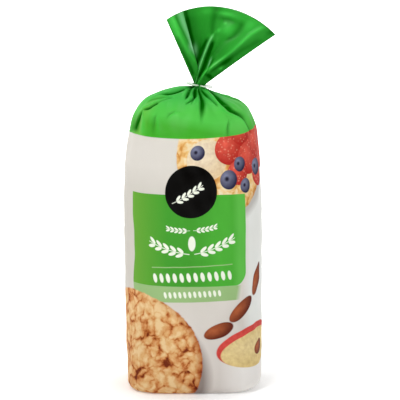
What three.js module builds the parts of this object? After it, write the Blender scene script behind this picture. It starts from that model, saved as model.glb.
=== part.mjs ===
// A printed film bag that holds a stack of round puffed rice cakes. It stands on its flat base. Its top is gathered
// into a neck, a flat plastic clip holds the neck shut, and above the clip the film spreads into a fan with an open
// mouth.
// Millimetres, +Z up, -Y the front, +X to the right of the front. The origin is the middle of the base.
import * as THREE from "three";

const RAD = Math.PI / 180;
const TURN = 2 * Math.PI;
const { clamp, lerp, smoothstep } = THREE.MathUtils;

// ---- Driving dimensions ----

const AROUND = 96; // points round every ring of the film

// The standing part, round the stack of cakes.
const BASE_ROUNDING = 8; // radius of the edge between base and wall
const BASE_RINGS = 4;
const BASE_SQUARENESS = 4; // superellipse exponent of the base, where the folded film makes it square
const BODY_SQUARENESS = 2.3; // the same up the wall, where the round cakes fill the film
const SQUARE_UP_TO = 60; // height at which the base's square form has died away
const SHOULDER_START = 161; // height of the wall's top
const HALF_WIDTHS = [[0, 49], [BASE_ROUNDING, 49.3], [60, 50.2], [120, 50.1], [SHOULDER_START, 48.8]]; // by height
const DEPTH_LESS = 1; // the half depth is this much less than the half width
const WALL_RINGS = [24, 40, 60, 90, 120, 144];

// The shoulder, from the wall's top to the neck. Each side has its own curve: handle radii and handle heights.
const SHOULDER_LEFT = { radii: [46.5, 35.6], heights: [221.2, 212.7] };
const SHOULDER_RIGHT = { radii: [46.5, 37.6], heights: [207, 207.1] };
const SHOULDER_FRONT = { radii: [46.8, 36.5], heights: [211, 211.5] };
const SHOULDER_RINGS = 22;
const NECK_FORM_FROM = 0.6; // share of the way to the neck from which the shoulder takes on the neck's form

// The neck, off the middle and leaning the way the fan leans.
const NECK = new THREE.Vector3(4.6, 0, 220.8); // where the clip holds it
const NECK_RADIUS = 5;
const NECK_FLATNESS = 0.9; // depth over width
const NECK_LEAN = 9 * RAD;
const NECK_BELOW = 1.3; // its length below the clip's middle
const NECK_ABOVE = 1.2; // and above it, where the fan begins
const NECK_PLEATS = 13;
const NECK_PLEAT_DEPTH = 0.45;

// The fan: a flattened cone of film from the neck to the mouth.
const FAN_APEX = new THREE.Vector3(2.3, 0, 219.5);
const FAN_LEFT = -22.4; // the folded edges' angles from upright, in degrees
const FAN_RIGHT = 55.6;
const FAN_REACH = 58; // from the apex to the mouth, straight up
const FAN_REACH_PER_DEGREE = 0.18;
const FAN_HALF_DEPTH = 5.5; // of the open mouth, at its middle
const FAN_RINGS = 12;
// How far the film's folds make each face stand out at the mouth, from its left edge (-1) to its right edge (1).
const FAN_FRONT = [[-1, 0], [-0.74, 4], [-0.67, 4.5], [-0.56, -1.5], [-0.15, -1.5], [0.3, 2.5], [0.72, 5], [1, 0]];
const FAN_BACK = [[-1, 0], [-0.6, 3.5], [-0.2, -1], [0.25, 3], [0.6, -0.5], [0.85, 2], [1, 0]];

// The hollow between the fan's two faces.
const WALL = 0.9; // thicker than real film, so that the fan is a solid
const EDGE_WALL = 0.055; // by how much of the fan's width each millimetre of wall narrows the hollow
const HOLLOW_FROM = 0.3; // share of the way up the fan at which the hollow is closed
const HOLLOW_RINGS = 7;
const HOLLOW_TAPER = 0.55; // width of the hollow at the neck, were it to go on, as a share of the neck's
const HOLLOW_END = new THREE.Vector3(-1, 0, -3); // from the middle of its last ring to its tip

// Folds of the shoulder, as valleys in the film. Angles are in degrees from the front, positive to the right. "foot"
// is the angle and "from" the share of the way to the neck at which the valley dies away, and "knee" is the share at
// which it leaves the angle that it has at the neck.
const FOLDS = [
  { neck: -40, foot: -62, from: 0.1, knee: 0.8, depth: 3.4 },
  { neck: 31, foot: 62, from: 0.08, knee: 0.78, depth: 4 },
  { neck: -16, foot: -22, from: 0.42, knee: 0.9, depth: 2.2 },
  { neck: -6, foot: -9, from: 0.5, knee: 0.9, depth: 2.6 },
  { neck: 5, foot: 7, from: 0.28, knee: 0.9, depth: 2.8 },
  { neck: 13, foot: 26, from: 0.4, knee: 0.9, depth: 2.8 },
  { neck: -66, foot: -84, from: 0.4, knee: 0.8, depth: 2.4 },
  { neck: 62, foot: 86, from: 0.38, knee: 0.8, depth: 2.4 },
  { neck: -112, foot: -117, from: 0.12, knee: 0.7, depth: 3.6 },
  { neck: 108, foot: 118, from: 0.1, knee: 0.7, depth: 3.8 },
  { neck: -142, foot: -139, from: 0.35, knee: 0.9, depth: 2.4 },
  { neck: -166, foot: -164, from: 0.28, knee: 0.9, depth: 2.8 },
  { neck: 172, foot: 176, from: 0.4, knee: 0.9, depth: 2.4 },
  { neck: 146, foot: 142, from: 0.32, knee: 0.9, depth: 2.8 },
];
const FOLD_WIDTH = 4.5; // half width of a valley, measured along the film
const FOLD_FADE = 0.3; // share of the shoulder over which a valley dies away at its foot
const FOLD_DROP = 0.5; // how far a valley sinks where the shoulder lies flat, as a share of its depth
const FOLD_FULL_RADIUS = 20; // nearer the neck than this, folds get shallower with the radius

// The clip: a flat tag with a hole for the neck and a slit to the front, through which the neck went in.
const CLIP_WIDTH = 19.5;
const CLIP_FRONT = 8.5; // from the neck's axis to the front edge
const CLIP_BACK = 8;
const CLIP_THICKNESS = 1;
const CLIP_CORNER = 3;
const CLIP_SLIT = 1.2;
const CLIP_LEAD_IN = 2; // depth and half width of the notch where the slit begins
const CLIP_GAP = 0.35; // between the clip and the neck
const CLIP_SEGMENTS = 16; // of each of its arcs

// ---- Shared helpers ----

/** The value at x of a curve through sorted [x, value] pairs, with straight stretches between them. */
function along(pairs, x) {
  const next = pairs.findIndex(([at]) => at >= x);
  if (next === 0) return pairs[0][1];
  if (next < 0) return pairs.at(-1)[1];
  const [[fromX, from], [toX, to]] = [pairs[next - 1], pairs[next]];
  return lerp(from, to, (x - fromX) / (toX - fromX));
}

/** Angles from the front of a ring's points, in radians, anticlockwise seen from above. */
const ringAngles = Array.from({ length: AROUND }, (_, i) => (TURN * i) / AROUND - Math.PI);

/** Unit outline of a superellipse at an angle from the front, as x and y. */
function outline(angle, squareness) {
  const [s, c] = [Math.sin(angle), Math.cos(angle)];
  const reach = (Math.abs(s) ** squareness + Math.abs(c) ** squareness) ** (-1 / squareness);
  return { x: s * reach, y: -c * reach };
}

/** A closed body through rings with equal point counts, closed by one point at each end. The quads' diagonals climb
 * towards the front on both sides, as the shoulder's folds do. */
function loft(firstPole, rings, lastPole) {
  const positions = [firstPole, ...rings.flat(), lastPole].flatMap((p) => [p.x, p.y, p.z]);
  const indices = [];
  const at = (ring, i) => 1 + ring * AROUND + (i % AROUND);
  const end = 1 + rings.length * AROUND;
  for (let i = 0; i < AROUND; i++) {
    indices.push(0, at(0, i + 1), at(0, i));
    for (let ring = 0; ring + 1 < rings.length; ring++) {
      const [a, b, c, d] = [at(ring, i), at(ring, i + 1), at(ring + 1, i + 1), at(ring + 1, i)];
      indices.push(...(i < AROUND / 2 ? [a, b, c, a, c, d] : [a, b, d, b, c, d]));
    }
    indices.push(end, at(rings.length - 1, i), at(rings.length - 1, i + 1));
  }
  const geometry = new THREE.BufferGeometry();
  geometry.setAttribute("position", new THREE.Float32BufferAttribute(positions, 3));
  geometry.setIndex(indices);
  geometry.computeVertexNormals();
  return geometry;
}

// ---- The standing part ----

/** A level outline with the half width and half depth given. */
function levelRing(halfWidth, halfDepth, squareness, height) {
  return ringAngles.map((angle) => {
    const unit = outline(angle, squareness);
    return new THREE.Vector3(halfWidth * unit.x, halfDepth * unit.y, height);
  });
}

/** The wall's outline at a height, before any rounding of the base. */
function wallRing(height, inset = 0) {
  const halfWidth = along(HALF_WIDTHS, height) - inset;
  const squareness = lerp(BASE_SQUARENESS, BODY_SQUARENESS, smoothstep(height, 0, SQUARE_UP_TO));
  return levelRing(halfWidth, halfWidth - DEPTH_LESS, squareness, height);
}

function baseRings() {
  return Array.from({ length: BASE_RINGS + 1 }, (_, i) => {
    const angle = ((i / BASE_RINGS) * TURN) / 4;
    return wallRing(BASE_ROUNDING * (1 - Math.cos(angle)), BASE_ROUNDING * (1 - Math.sin(angle)));
  });
}

// ---- The shoulder ----

/** How deep the folds cut into the shoulder at an angle and a share of the way to the neck, at a given radius. */
function foldDepth(angle, share, radius) {
  return FOLDS.reduce((sum, fold) => {
    const centre = lerp(fold.foot, fold.neck, smoothstep(share, fold.from, fold.knee)) * RAD;
    const away = Math.atan2(Math.sin(angle - centre), Math.cos(angle - centre)) * radius;
    const strength = smoothstep(share, fold.from, fold.from + FOLD_FADE) * Math.min(1, radius / FOLD_FULL_RADIUS);
    return sum + fold.depth * strength * Math.exp(-((away / FOLD_WIDTH) ** 2));
  }, 0);
}

/** The shoulder's curve at an angle, as radius and height: the left, right and front curves blended round the bag. */
function shoulderCurve(angle) {
  const side = Math.sin(angle);
  const left = Math.max(0, -side) ** 2;
  const right = Math.max(0, side) ** 2;
  const blend = (key, i) =>
    left * SHOULDER_LEFT[key][i] + right * SHOULDER_RIGHT[key][i] + (1 - left - right) * SHOULDER_FRONT[key][i];
  const top = along(HALF_WIDTHS, SHOULDER_START);
  return new THREE.CubicBezierCurve(
    new THREE.Vector2(top, SHOULDER_START),
    new THREE.Vector2(blend("radii", 0), blend("heights", 0)),
    new THREE.Vector2(blend("radii", 1), blend("heights", 1)),
    new THREE.Vector2(NECK_RADIUS, NECK.z - NECK_BELOW),
  );
}

/** A ring of the shoulder, a share of the way from the wall to the neck. */
function shoulderRing(share) {
  const nearNeck = smoothstep(share, NECK_FORM_FROM, 1);
  const flatness = lerp(1 - DEPTH_LESS / SHOULDER_FRONT.radii[0], NECK_FLATNESS, nearNeck);
  return ringAngles.map((angle) => {
    const { x: full, y: height } = shoulderCurve(angle).getPoint(share);
    const radius = full - foldDepth(angle, share, full) - neckPleat(angle) * nearNeck;
    const unit = outline(angle, lerp(BODY_SQUARENESS, 2, share));
    const lean = nearNeck * radius * unit.x * Math.sin(NECK_LEAN);
    const drop = FOLD_DROP * (full - radius) * share;
    return new THREE.Vector3(
      NECK.x * smoothstep(share, 0, 1) + radius * unit.x,
      radius * flatness * unit.y,
      height - lean - drop,
    );
  });
}

// ---- The neck and the fan ----

/** How deep the neck's small pleats are at an angle. */
function neckPleat(angle) {
  return NECK_PLEAT_DEPTH * (1 + Math.cos(NECK_PLEATS * angle));
}

/** The neck's ring, a distance up its leaning axis. */
function neckRing(up) {
  return ringAngles.map((angle) => {
    const radius = NECK_RADIUS - neckPleat(angle);
    const point = new THREE.Vector3(radius * Math.sin(angle), -radius * NECK_FLATNESS * Math.cos(angle), up);
    return point.applyAxisAngle(new THREE.Vector3(0, 1, 0), NECK_LEAN).add(NECK);
  });
}

/** A point of the fan's mouth at an angle round it, a distance inside the film's outer face. */
function mouthPoint(angle, inside) {
  const across = Math.sin(angle) * (1 - EDGE_WALL * inside);
  const facing = clamp(AROUND * Math.cos(angle), -1, 1); // 1 in front, -1 behind and 0 on the folded edges
  const lens = FAN_HALF_DEPTH * (1 - across ** 2);
  const [front, back] = [-lens - along(FAN_FRONT, across), lens + along(FAN_BACK, across)];
  const depth = (front + back) / 2 - facing * ((back - front) / 2 - inside);
  const degrees = lerp(FAN_LEFT, FAN_RIGHT, (across + 1) / 2);
  const reach = FAN_REACH + FAN_REACH_PER_DEGREE * degrees;
  return new THREE.Vector3(reach * Math.sin(degrees * RAD), depth, reach * Math.cos(degrees * RAD)).add(FAN_APEX);
}

/** A ring of the fan, a share of the way from the neck to the mouth, a distance inside the film's outer face. */
function fanRing(share, inside = 0) {
  const middle = new THREE.Vector3(0, 0, NECK_ABOVE).add(NECK);
  const taper = inside > 0 ? HOLLOW_TAPER : 1;
  return neckRing(NECK_ABOVE).map((onNeck, i) =>
    middle.clone().lerp(onNeck, taper).lerp(mouthPoint(ringAngles[i], inside), share),
  );
}

// ---- The pieces ----

function bagGeometry() {
  const outside = [
    ...baseRings(),
    ...WALL_RINGS.map((height) => wallRing(height)),
    ...Array.from({ length: SHOULDER_RINGS }, (_, i) => shoulderRing(i / SHOULDER_RINGS)),
    neckRing(-NECK_BELOW),
    neckRing(NECK_ABOVE),
    ...Array.from({ length: FAN_RINGS }, (_, i) => fanRing((i + 1) / FAN_RINGS, 0)),
  ];
  const hollow = Array.from({ length: HOLLOW_RINGS }, (_, i) =>
    fanRing(lerp(1, HOLLOW_FROM, i / (HOLLOW_RINGS - 1)), WALL),
  );
  const middle = hollow.at(-1).reduce((sum, point) => sum.addScaledVector(point, 1 / AROUND), new THREE.Vector3());
  return loft(new THREE.Vector3(), [...outside, ...hollow], middle.add(HOLLOW_END));
}

function clipGeometry() {
  const [right, front, back] = [CLIP_WIDTH / 2, -CLIP_FRONT, CLIP_BACK];
  const [holeX, holeY] = [NECK_RADIUS + CLIP_GAP, NECK_RADIUS * NECK_FLATNESS + CLIP_GAP];
  const slitAngle = Math.asin(CLIP_SLIT / 2 / holeX);
  const shape = new THREE.Shape();
  shape.moveTo(CLIP_LEAD_IN, front);
  shape.absarc(right - CLIP_CORNER, front + CLIP_CORNER, CLIP_CORNER, -TURN / 4, 0, false);
  shape.absarc(right - CLIP_CORNER, back - CLIP_CORNER, CLIP_CORNER, 0, TURN / 4, false);
  shape.absarc(CLIP_CORNER - right, back - CLIP_CORNER, CLIP_CORNER, TURN / 4, TURN / 2, false);
  shape.absarc(CLIP_CORNER - right, front + CLIP_CORNER, CLIP_CORNER, TURN / 2, 0.75 * TURN, false);
  shape.lineTo(-CLIP_LEAD_IN, front);
  shape.lineTo(-CLIP_SLIT / 2, front + CLIP_LEAD_IN);
  shape.absellipse(0, 0, holeX, holeY, -TURN / 4 - slitAngle, slitAngle - 1.25 * TURN, true);
  shape.lineTo(CLIP_SLIT / 2, front + CLIP_LEAD_IN);
  const options = { depth: CLIP_THICKNESS, bevelEnabled: false, curveSegments: CLIP_SEGMENTS };
  return new THREE.ExtrudeGeometry(shape, options).translate(0, 0, -CLIP_THICKNESS / 2);
}

function mesh(name, geometry, color, roughness) {
  const made = new THREE.Mesh(geometry, new THREE.MeshStandardMaterial({ color, roughness, metalness: 0 }));
  made.name = name;
  return made;
}

const pack = new THREE.Group();
pack.add(mesh("bag", bagGeometry(), 0x3fae3f, 0.35));

const clip = mesh("clip", clipGeometry(), 0xdfe8da, 0.4);
clip.position.copy(NECK);
clip.rotation.y = NECK_LEAN;
pack.add(clip);

export default pack;
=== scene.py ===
"""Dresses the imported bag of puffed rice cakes: printed film, the fan of spare film and the clip on the neck.

Lengths are millimetres, and become metres where a mesh is made. The axes are the frame's: +Z up, -Y the
front, +X to the right of the front. Angles round the bag are counted from the front, positive to the right.
"""

import logging
import math
from dataclasses import dataclass, field
from enum import Enum
from typing import Any, Sequence

import bpy
import numpy as np
from mathutils import Matrix, Vector


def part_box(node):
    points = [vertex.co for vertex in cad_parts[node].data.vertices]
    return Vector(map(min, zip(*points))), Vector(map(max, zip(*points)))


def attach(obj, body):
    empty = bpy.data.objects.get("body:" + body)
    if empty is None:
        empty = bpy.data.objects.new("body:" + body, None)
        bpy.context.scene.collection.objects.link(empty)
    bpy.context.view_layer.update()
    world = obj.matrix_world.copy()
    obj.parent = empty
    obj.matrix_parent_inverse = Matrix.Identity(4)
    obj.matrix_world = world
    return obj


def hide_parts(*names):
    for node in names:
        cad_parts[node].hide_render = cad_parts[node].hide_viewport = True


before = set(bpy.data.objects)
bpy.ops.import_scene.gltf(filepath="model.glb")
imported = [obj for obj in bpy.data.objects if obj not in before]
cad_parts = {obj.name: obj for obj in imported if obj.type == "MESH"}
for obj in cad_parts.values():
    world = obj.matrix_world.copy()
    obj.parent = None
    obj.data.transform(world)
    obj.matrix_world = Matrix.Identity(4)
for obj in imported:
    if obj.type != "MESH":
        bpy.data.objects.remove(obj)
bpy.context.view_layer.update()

MM = 0.001
TURN = 2 * math.pi
log = logging.getLogger("bag")

Colour = tuple[float, float, float, float]
Socket = bpy.types.NodeSocket
Paint = Socket | Colour | Enum

# The film's own lengths when it is flat: round the tube, up to the fan's foot, from there to where the clip
# lets go, and from there to the mouth.
FILM_WIDTH = 320.0
FAN_FILM_START = 250.0
FAN_FOOT = 1.2
FAN_REACH = 57.3

# What a mesh carries: places on the flat film, painted shading (painted shade and painted highlights),
# painted sheen, and the map for baking.
FILM = "film"
PAINTED_SHADING = "tone"
PAINTED_SHEEN = "painted_sheen"
BAKE_MAP = "OFBake"


# ---------------------------------------------------------------- numbers and curves


def smooth(x: np.ndarray, low: float = 0.0, high: float = 1.0) -> np.ndarray:
    """Rises from 0 at low to 1 at high with level ends."""
    t = np.clip((np.asarray(x, float) - low) / (high - low), 0, 1)
    return t * t * (3 - 2 * t)


def bell(x: np.ndarray, centre: float, width: float) -> np.ndarray:
    """A bell curve of height 1, which has fallen to a third a width away from its centre."""
    return np.exp(-(((x - centre) / width) ** 2))


def between(x: np.ndarray, low: float, high: float, soft: float) -> np.ndarray:
    """1 between low and high, and 0 beyond them, with soft ends."""
    return smooth(x, low - soft, low + soft) * (1 - smooth(x, high - soft, high + soft))


def wrapped(angle: np.ndarray) -> np.ndarray:
    """An angle brought into -pi..pi."""
    return (angle + math.pi) % TURN - math.pi


def waves(x: np.ndarray, y: np.ndarray, pitch: float, seed: int, count: int = 7) -> np.ndarray:
    """A gentle uneven swell over a plane.

    Args:
        x: places along the first axis, in millimetres.
        y: places along the second axis.
        pitch: the usual distance from crest to crest.
        seed: picks the swell.
        count: how many plain waves it is made of.

    Returns:
        Heights of about -1 to 1.
    """
    rng = np.random.default_rng(seed)
    total = np.zeros(np.broadcast(x, y).shape)
    for _ in range(count):
        heading, phase = rng.uniform(0, TURN, 2)
        length = pitch * rng.uniform(0.7, 1.5)
        total += np.sin(TURN * (x * math.cos(heading) + y * math.sin(heading)) / length + phase)
    return total / math.sqrt(count)


def rounded_loop(corners: np.ndarray, count: int, rounding: float) -> tuple[np.ndarray, np.ndarray]:
    """Even points along a closed polyline whose corners are rounded.

    Args:
        corners: one row a corner, in order; distances are taken in the first two columns.
        count: how many points to make.
        rounding: how far the rounding of a corner reaches, in millimetres.

    Returns:
        The points, with every column of the corners, and each one's place as a number of corners passed.
    """
    closed = np.vstack([corners, corners[:1]])
    legs = np.linalg.norm(np.diff(closed[:, :2], axis=0), axis=1)
    passed = np.concatenate([[0], np.cumsum(legs)])
    at = np.linspace(0, passed[-1], count, endpoint=False)
    line = np.stack([np.interp(at, passed, column) for column in closed.T], 1)
    step = passed[-1] / count
    reach = int(3 * rounding / step) + 1
    weights = np.exp(-0.5 * (np.arange(-reach, reach + 1) * step / rounding) ** 2)
    padded = np.concatenate([line[-reach:], line, line[:reach]])
    even = [np.convolve(column, weights / weights.sum(), "valid") for column in padded.T]
    return np.stack(even, 1), np.interp(at, passed, np.arange(len(closed)))


# ---------------------------------------------------------------- the bag's form


@dataclass(frozen=True)
class Handles:
    """One side of the shoulder: the radii and heights of its curve's two handles."""

    radii: tuple[float, float]
    heights: tuple[float, float]


@dataclass(frozen=True)
class BagForm:
    """The film's main form from base to neck, without its folds.

    heights, width_shares and middles go together: at each height the wall is that share of half_width wide,
    and its middle stands that far to the right. A squareness of 2 is round. From neck_form_from, a share of
    the way up the shoulder, the rings take on the neck's lean and flatness.
    """

    half_width: float
    half_depth: float
    neck_x: float
    neck_z: float
    base_rounding: float = 7.0
    base_unevenness: float = 2.2
    base_squareness: float = 4.0
    body_squareness: float = 2.3
    square_up_to: float = 60.0
    shoulder_start: float = 161.0
    heights: tuple[float, ...] = (0.0, 18.0, 42.0, 77.0, 100.0, 120.0, 140.0, 161.0)
    width_shares: tuple[float, ...] = (0.976, 0.98, 0.989, 0.999, 1.007, 1.012, 1.006, 0.986)
    middles: tuple[float, ...] = (1.3, 1.1, 0.6, 0.5, 0.3, 0.1, -0.2, -0.6)
    left: Handles = Handles((44.4, 36.6), (221.2, 213.6))
    right: Handles = Handles((47.4, 38.2), (206.5, 207.0))
    front: Handles = Handles((46.8, 36.5), (211.0, 211.5))
    neck_radius: float = 5.0
    neck_flatness: float = 0.9
    neck_lean: float = math.radians(9)
    neck_below: float = 1.3
    neck_form_from: float = 0.6

    def wall_half_width(self, height: np.ndarray | float) -> np.ndarray:
        """The wall's half width at a height."""
        return self.half_width * np.interp(height, self.heights, self.width_shares)

    def wall_middle(self, height: np.ndarray | float) -> np.ndarray:
        """How far to the right the wall's middle stands at a height."""
        return np.interp(height, self.heights, self.middles)

    def rounding(self, angle: np.ndarray) -> np.ndarray:
        """The base edge's rounding at an angle, tighter on the left than on the right."""
        return self.base_rounding + self.base_unevenness * np.sin(angle)

    @staticmethod
    def outline(angle: np.ndarray, squareness: np.ndarray | float) -> tuple[np.ndarray, np.ndarray]:
        """X and Y of a unit superellipse at an angle.

        Args:
            angle: places round the bag, in radians.
            squareness: its power, where 2 is a circle and more is squarer.

        Returns:
            The points' X and their Y.
        """
        s, c = np.sin(angle), np.cos(angle)
        reach = (np.abs(s) ** squareness + np.abs(c) ** squareness) ** (-1 / squareness)
        return s * reach, -c * reach

    def wall(
        self, angle: np.ndarray, height: np.ndarray | float, inset: np.ndarray | float = 0.0
    ) -> np.ndarray:
        """The wall's ring at a height, drawn in by inset.

        Args:
            angle: places round the bag, in radians.
            height: the ring's height, or each point's.
            inset: how far the ring is drawn in.

        Returns:
            The ring's points.
        """
        half = self.wall_half_width(height) - inset
        fade = smooth(height, 0, self.square_up_to)
        square = self.base_squareness + (self.body_squareness - self.base_squareness) * fade
        x, y = self.outline(angle, square)
        depth = half - (self.half_width - self.half_depth)
        return np.stack([half * x + self.wall_middle(height), depth * y, height + 0.0 * x], 1)

    def shoulder(self, angle: np.ndarray, share: float) -> np.ndarray:
        """The shoulder's ring at a share of the way from the wall to the neck.

        Args:
            angle: places round the bag, in radians.
            share: 0 at the wall and 1 at the neck.

        Returns:
            The ring's points.
        """
        side = np.sin(angle)
        left, right = np.clip(-side, 0, 1) ** 2, np.clip(side, 0, 1) ** 2
        front = 1 - left - right
        top = float(self.wall_half_width(self.shoulder_start))
        ends = ((top, self.shoulder_start), (self.neck_radius, self.neck_z - self.neck_below))
        weights = [(1 - share) ** 3, 3 * share * (1 - share) ** 2, 3 * share**2 * (1 - share), share**3]
        curves = []
        for i, name in enumerate(("radii", "heights")):
            inner = [
                left * getattr(self.left, name)[k]
                + right * getattr(self.right, name)[k]
                + front * getattr(self.front, name)[k]
                for k in range(2)
            ]
            points = (ends[0][i], *inner, ends[1][i])
            curves.append(sum(weight * point for weight, point in zip(weights, points)))
        radius, height = curves
        near = float(smooth(share, self.neck_form_from, 1))
        depth_share = 1 - (self.half_width - self.half_depth) / self.front.radii[0]
        flatness = depth_share + (self.neck_flatness - depth_share) * near
        x, y = self.outline(angle, self.body_squareness + (2 - self.body_squareness) * share)
        lean = near * radius * x * math.sin(self.neck_lean)
        start = float(self.wall_middle(self.shoulder_start))
        middle = start + (self.neck_x - start) * smooth(share)
        return np.stack([middle + radius * x, radius * flatness * y, height - lean], 1)

    def on_neck(self, x: np.ndarray, y: np.ndarray, up: float) -> np.ndarray:
        """Points across the neck, a distance up its leaning axis from the clip."""
        s, c = math.sin(self.neck_lean), math.cos(self.neck_lean)
        return np.stack([self.neck_x + x * c + up * s, y, self.neck_z + up * c - x * s], 1)

    def neck(self, angle: np.ndarray, up: float, radius: np.ndarray | float) -> np.ndarray:
        """The neck's ring, a distance up its leaning axis from the clip."""
        return self.on_neck(radius * np.sin(angle), -radius * self.neck_flatness * np.cos(angle), up)


@dataclass(frozen=True)
class Pleats:
    """The many small pleats that the neck's film is drawn into."""

    count: int = 23
    depth: float = 0.4
    unevenness: float = 0.38

    def relief(self, angle: np.ndarray) -> np.ndarray:
        """How deep the pleats are at an angle, from 0 on a ridge to their full depth.

        Args:
            angle: places round the bag, in radians.

        Returns:
            One depth for each angle.
        """
        spacing = TURN / self.count
        total = np.zeros_like(angle)
        for i in range(self.count):
            centre = (i + self.unevenness * math.sin(2.4 * i)) * spacing
            deep = self.depth * (0.7 + 0.3 * math.sin(1.7 * i + 1))
            total += deep * bell(wrapped(angle - centre), 0, 0.34 * spacing)
        return total


@dataclass(frozen=True)
class Fold:
    """A valley pressed into the gathered shoulder, with a soft ridge beside it.

    path runs from the valley's upper end down, as degrees from the front, shares of the way to the neck,
    and half widths in millimetres. ridge is the ridge's height and ridge_side its side, 1 for the right.
    fade is how softly the fold ends, as a share of the way to the neck, and it runs on into the neck where
    to_neck is set.
    """

    path: tuple[tuple[float, float, float], ...]
    depth: float
    ridge: float = 0.5
    ridge_side: int = 1
    fade: float = 0.08
    to_neck: bool = True

    def relief(
        self, angle: np.ndarray, share: np.ndarray, radius: np.ndarray, climb: np.ndarray
    ) -> tuple[np.ndarray, np.ndarray]:
        """Heights of the film over its plain form.

        Args:
            angle: places round the bag, one row of them.
            share: each ring's share of the way to the neck, as a column.
            radius: each point's distance from the bag's axis.
            climb: each ring's distance up the film, as a column.

        Returns:
            One height for each point, below 0 in the valley, and the painted shading that the fold gives it:
            painted shade in the valley and a painted highlight on the ridge.
        """
        degrees, shares, widths = np.array(self.path[::-1]).T
        nearby = (-0.02, 0.0, 0.02)
        centre = np.radians(sum(np.interp(share + step, shares, degrees) for step in nearby) / len(nearby))
        slope = radius * np.gradient(centre[:, 0])[:, None] / np.gradient(climb[:, 0])[:, None]
        away = wrapped(angle - centre) * radius / np.sqrt(1 + slope**2)
        width = np.interp(share, shares, widths)
        strength = smooth(share, shares[0] - self.fade / 2, shares[0] + self.fade)
        if not self.to_neck:
            strength = strength * (1 - smooth(share, shares[-1] - self.fade / 2, shares[-1] + self.fade / 2))
        strength = strength * (share < 1)
        x = away / width
        room = np.clip(radius / 22, 0, 1)
        valley = self.depth * (0.8 * np.exp(-np.abs(x)) + 0.2 * bell(x, 0, 0.8))
        ridge = self.ridge * bell(x, 2.2 * self.ridge_side, 1.4)
        # Painted shade darkens the valley, and a painted highlight lightens the ridge beside it.
        painted_shade = np.minimum(self.depth / 2.2 * bell(x, 0, 1.3), 1)
        light = min(self.ridge, 1) * 0.6 * bell(x, 2.2 * self.ridge_side, 1.0)
        return strength * room * (ridge - valley), strength * np.clip(room * 2.2, 0, 1) * (light - painted_shade)


# ---------------------------------------------------------------- meshes


@dataclass
class Grid:
    """A sheet of film as rings of points that close on themselves, with its place on the flat film.

    across and along are millimetres on the flat film: round the tube from the front's middle for each place
    in a ring, and up it for each point. Each point also carries its painted shading, from -1, painted shade
    deep inside a fold, to 1, a painted highlight on a ridge, and how much painted sheen is laid on it. pole
    is the point that closes the first ring.
    """

    points: np.ndarray
    across: np.ndarray
    along: np.ndarray
    tone: np.ndarray
    painted_sheen: np.ndarray
    pole: tuple[float, float, float] | None = None

    def faces(self) -> list[tuple[int, ...]]:
        """The quads between neighbouring rings, and the triangles round the pole.

        Returns:
            Each face's points, by number.
        """
        rings, around = self.points.shape[:2]
        ring, i = np.meshgrid(np.arange(rings - 1), np.arange(around), indexing="ij")
        following = (i + 1) % around
        low, high = ring * around, (ring + 1) * around
        corners = [low + i, low + following, high + following, high + i]
        quads = np.stack(corners, -1).reshape(-1, 4).tolist()
        if self.pole is None:
            return quads
        top = rings * around
        return quads + [(top, (k + 1) % around, k) for k in range(around)]

    def corner_values(self) -> np.ndarray:
        """Finds each face corner on the flat film, where the seam's last quads run on past the end.

        Returns:
            Places across and along the film, in the order of the faces' corners.
        """
        rings, around = self.points.shape[:2]
        width = self.across[1] - self.across[0]
        edges = np.append(self.across, self.across[-1] + width)
        a0 = np.broadcast_to(edges[:-1], (rings - 1, around))
        a1 = np.broadcast_to(edges[1:], (rings - 1, around))
        ahead = np.roll(self.along, -1, 1)
        low0, low1, high0, high1 = self.along[:-1], ahead[:-1], self.along[1:], ahead[1:]
        quads = np.stack([np.stack(c, -1) for c in ((a0, low0), (a1, low1), (a1, high1), (a0, high0))], 2)
        values = quads.reshape(-1, 2)
        if self.pole is None:
            return values
        start, first = float(2 * self.along[0, 0] - self.along[1, 0]), float(self.along[0, 0])
        fan = [((edges[k] + edges[k + 1]) / 2, start) for k in range(around)]
        fans = [(fan[k], (edges[k + 1], first), (edges[k], first)) for k in range(around)]
        return np.concatenate([values, np.array(fans).reshape(-1, 2)])

    def build(self, name: str) -> bpy.types.Object:
        """Makes the object, with the attribute that the print is drawn in and a map for baking.

        Args:
            name: the object's name.

        Returns:
            The new object, in the scene, with smooth shading.
        """
        points = self.points.reshape(-1, 3)
        if self.pole is not None:
            points = np.vstack([points, self.pole])
        mesh = bpy.data.meshes.new(name)
        mesh.from_pydata((points * MM).tolist(), [], self.faces())
        values = self.corner_values()
        film = mesh.attributes.new(FILM, "FLOAT_VECTOR", "CORNER")
        film.data.foreach_set("vector", np.c_[values, np.zeros(len(values))].ravel())
        at_pole = [] if self.pole is None else [0.0]
        # Each point's painted shading and painted sheen, one value a point.
        for title, painted_light_values in ((PAINTED_SHADING, self.tone), (PAINTED_SHEEN, self.painted_sheen)):
            layer = mesh.attributes.new(title, "FLOAT", "POINT")
            layer.data.foreach_set("value", np.append(painted_light_values.ravel(), at_pole))
        low, high = values.min(0), values.max(0)
        layer = mesh.uv_layers.new(name=BAKE_MAP)
        margin = 0.001
        layer.uv.foreach_set("vector", ((values - low) / (high - low) * (1 - 2 * margin) + margin).ravel())
        mesh.shade_smooth()
        made = bpy.data.objects.new(name, mesh)
        bpy.context.scene.collection.objects.link(made)
        return made


def across_film(form: BagForm, angle: np.ndarray) -> np.ndarray:
    """Finds each angle's place across the flat film, from the arc length of a ring half way up the wall.

    Args:
        form: the bag's form.
        angle: places round the bag, in radians.

    Returns:
        Places across the flat film, from its middle.
    """
    fine = np.linspace(-math.pi, math.pi, 2881)
    ring = form.wall(fine, form.shoulder_start / 2)
    length = np.concatenate([[0], np.cumsum(np.linalg.norm(np.diff(ring, axis=0), axis=1))])
    return np.interp(angle, fine, length / length[-1] * FILM_WIDTH - FILM_WIDTH / 2)


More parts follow.
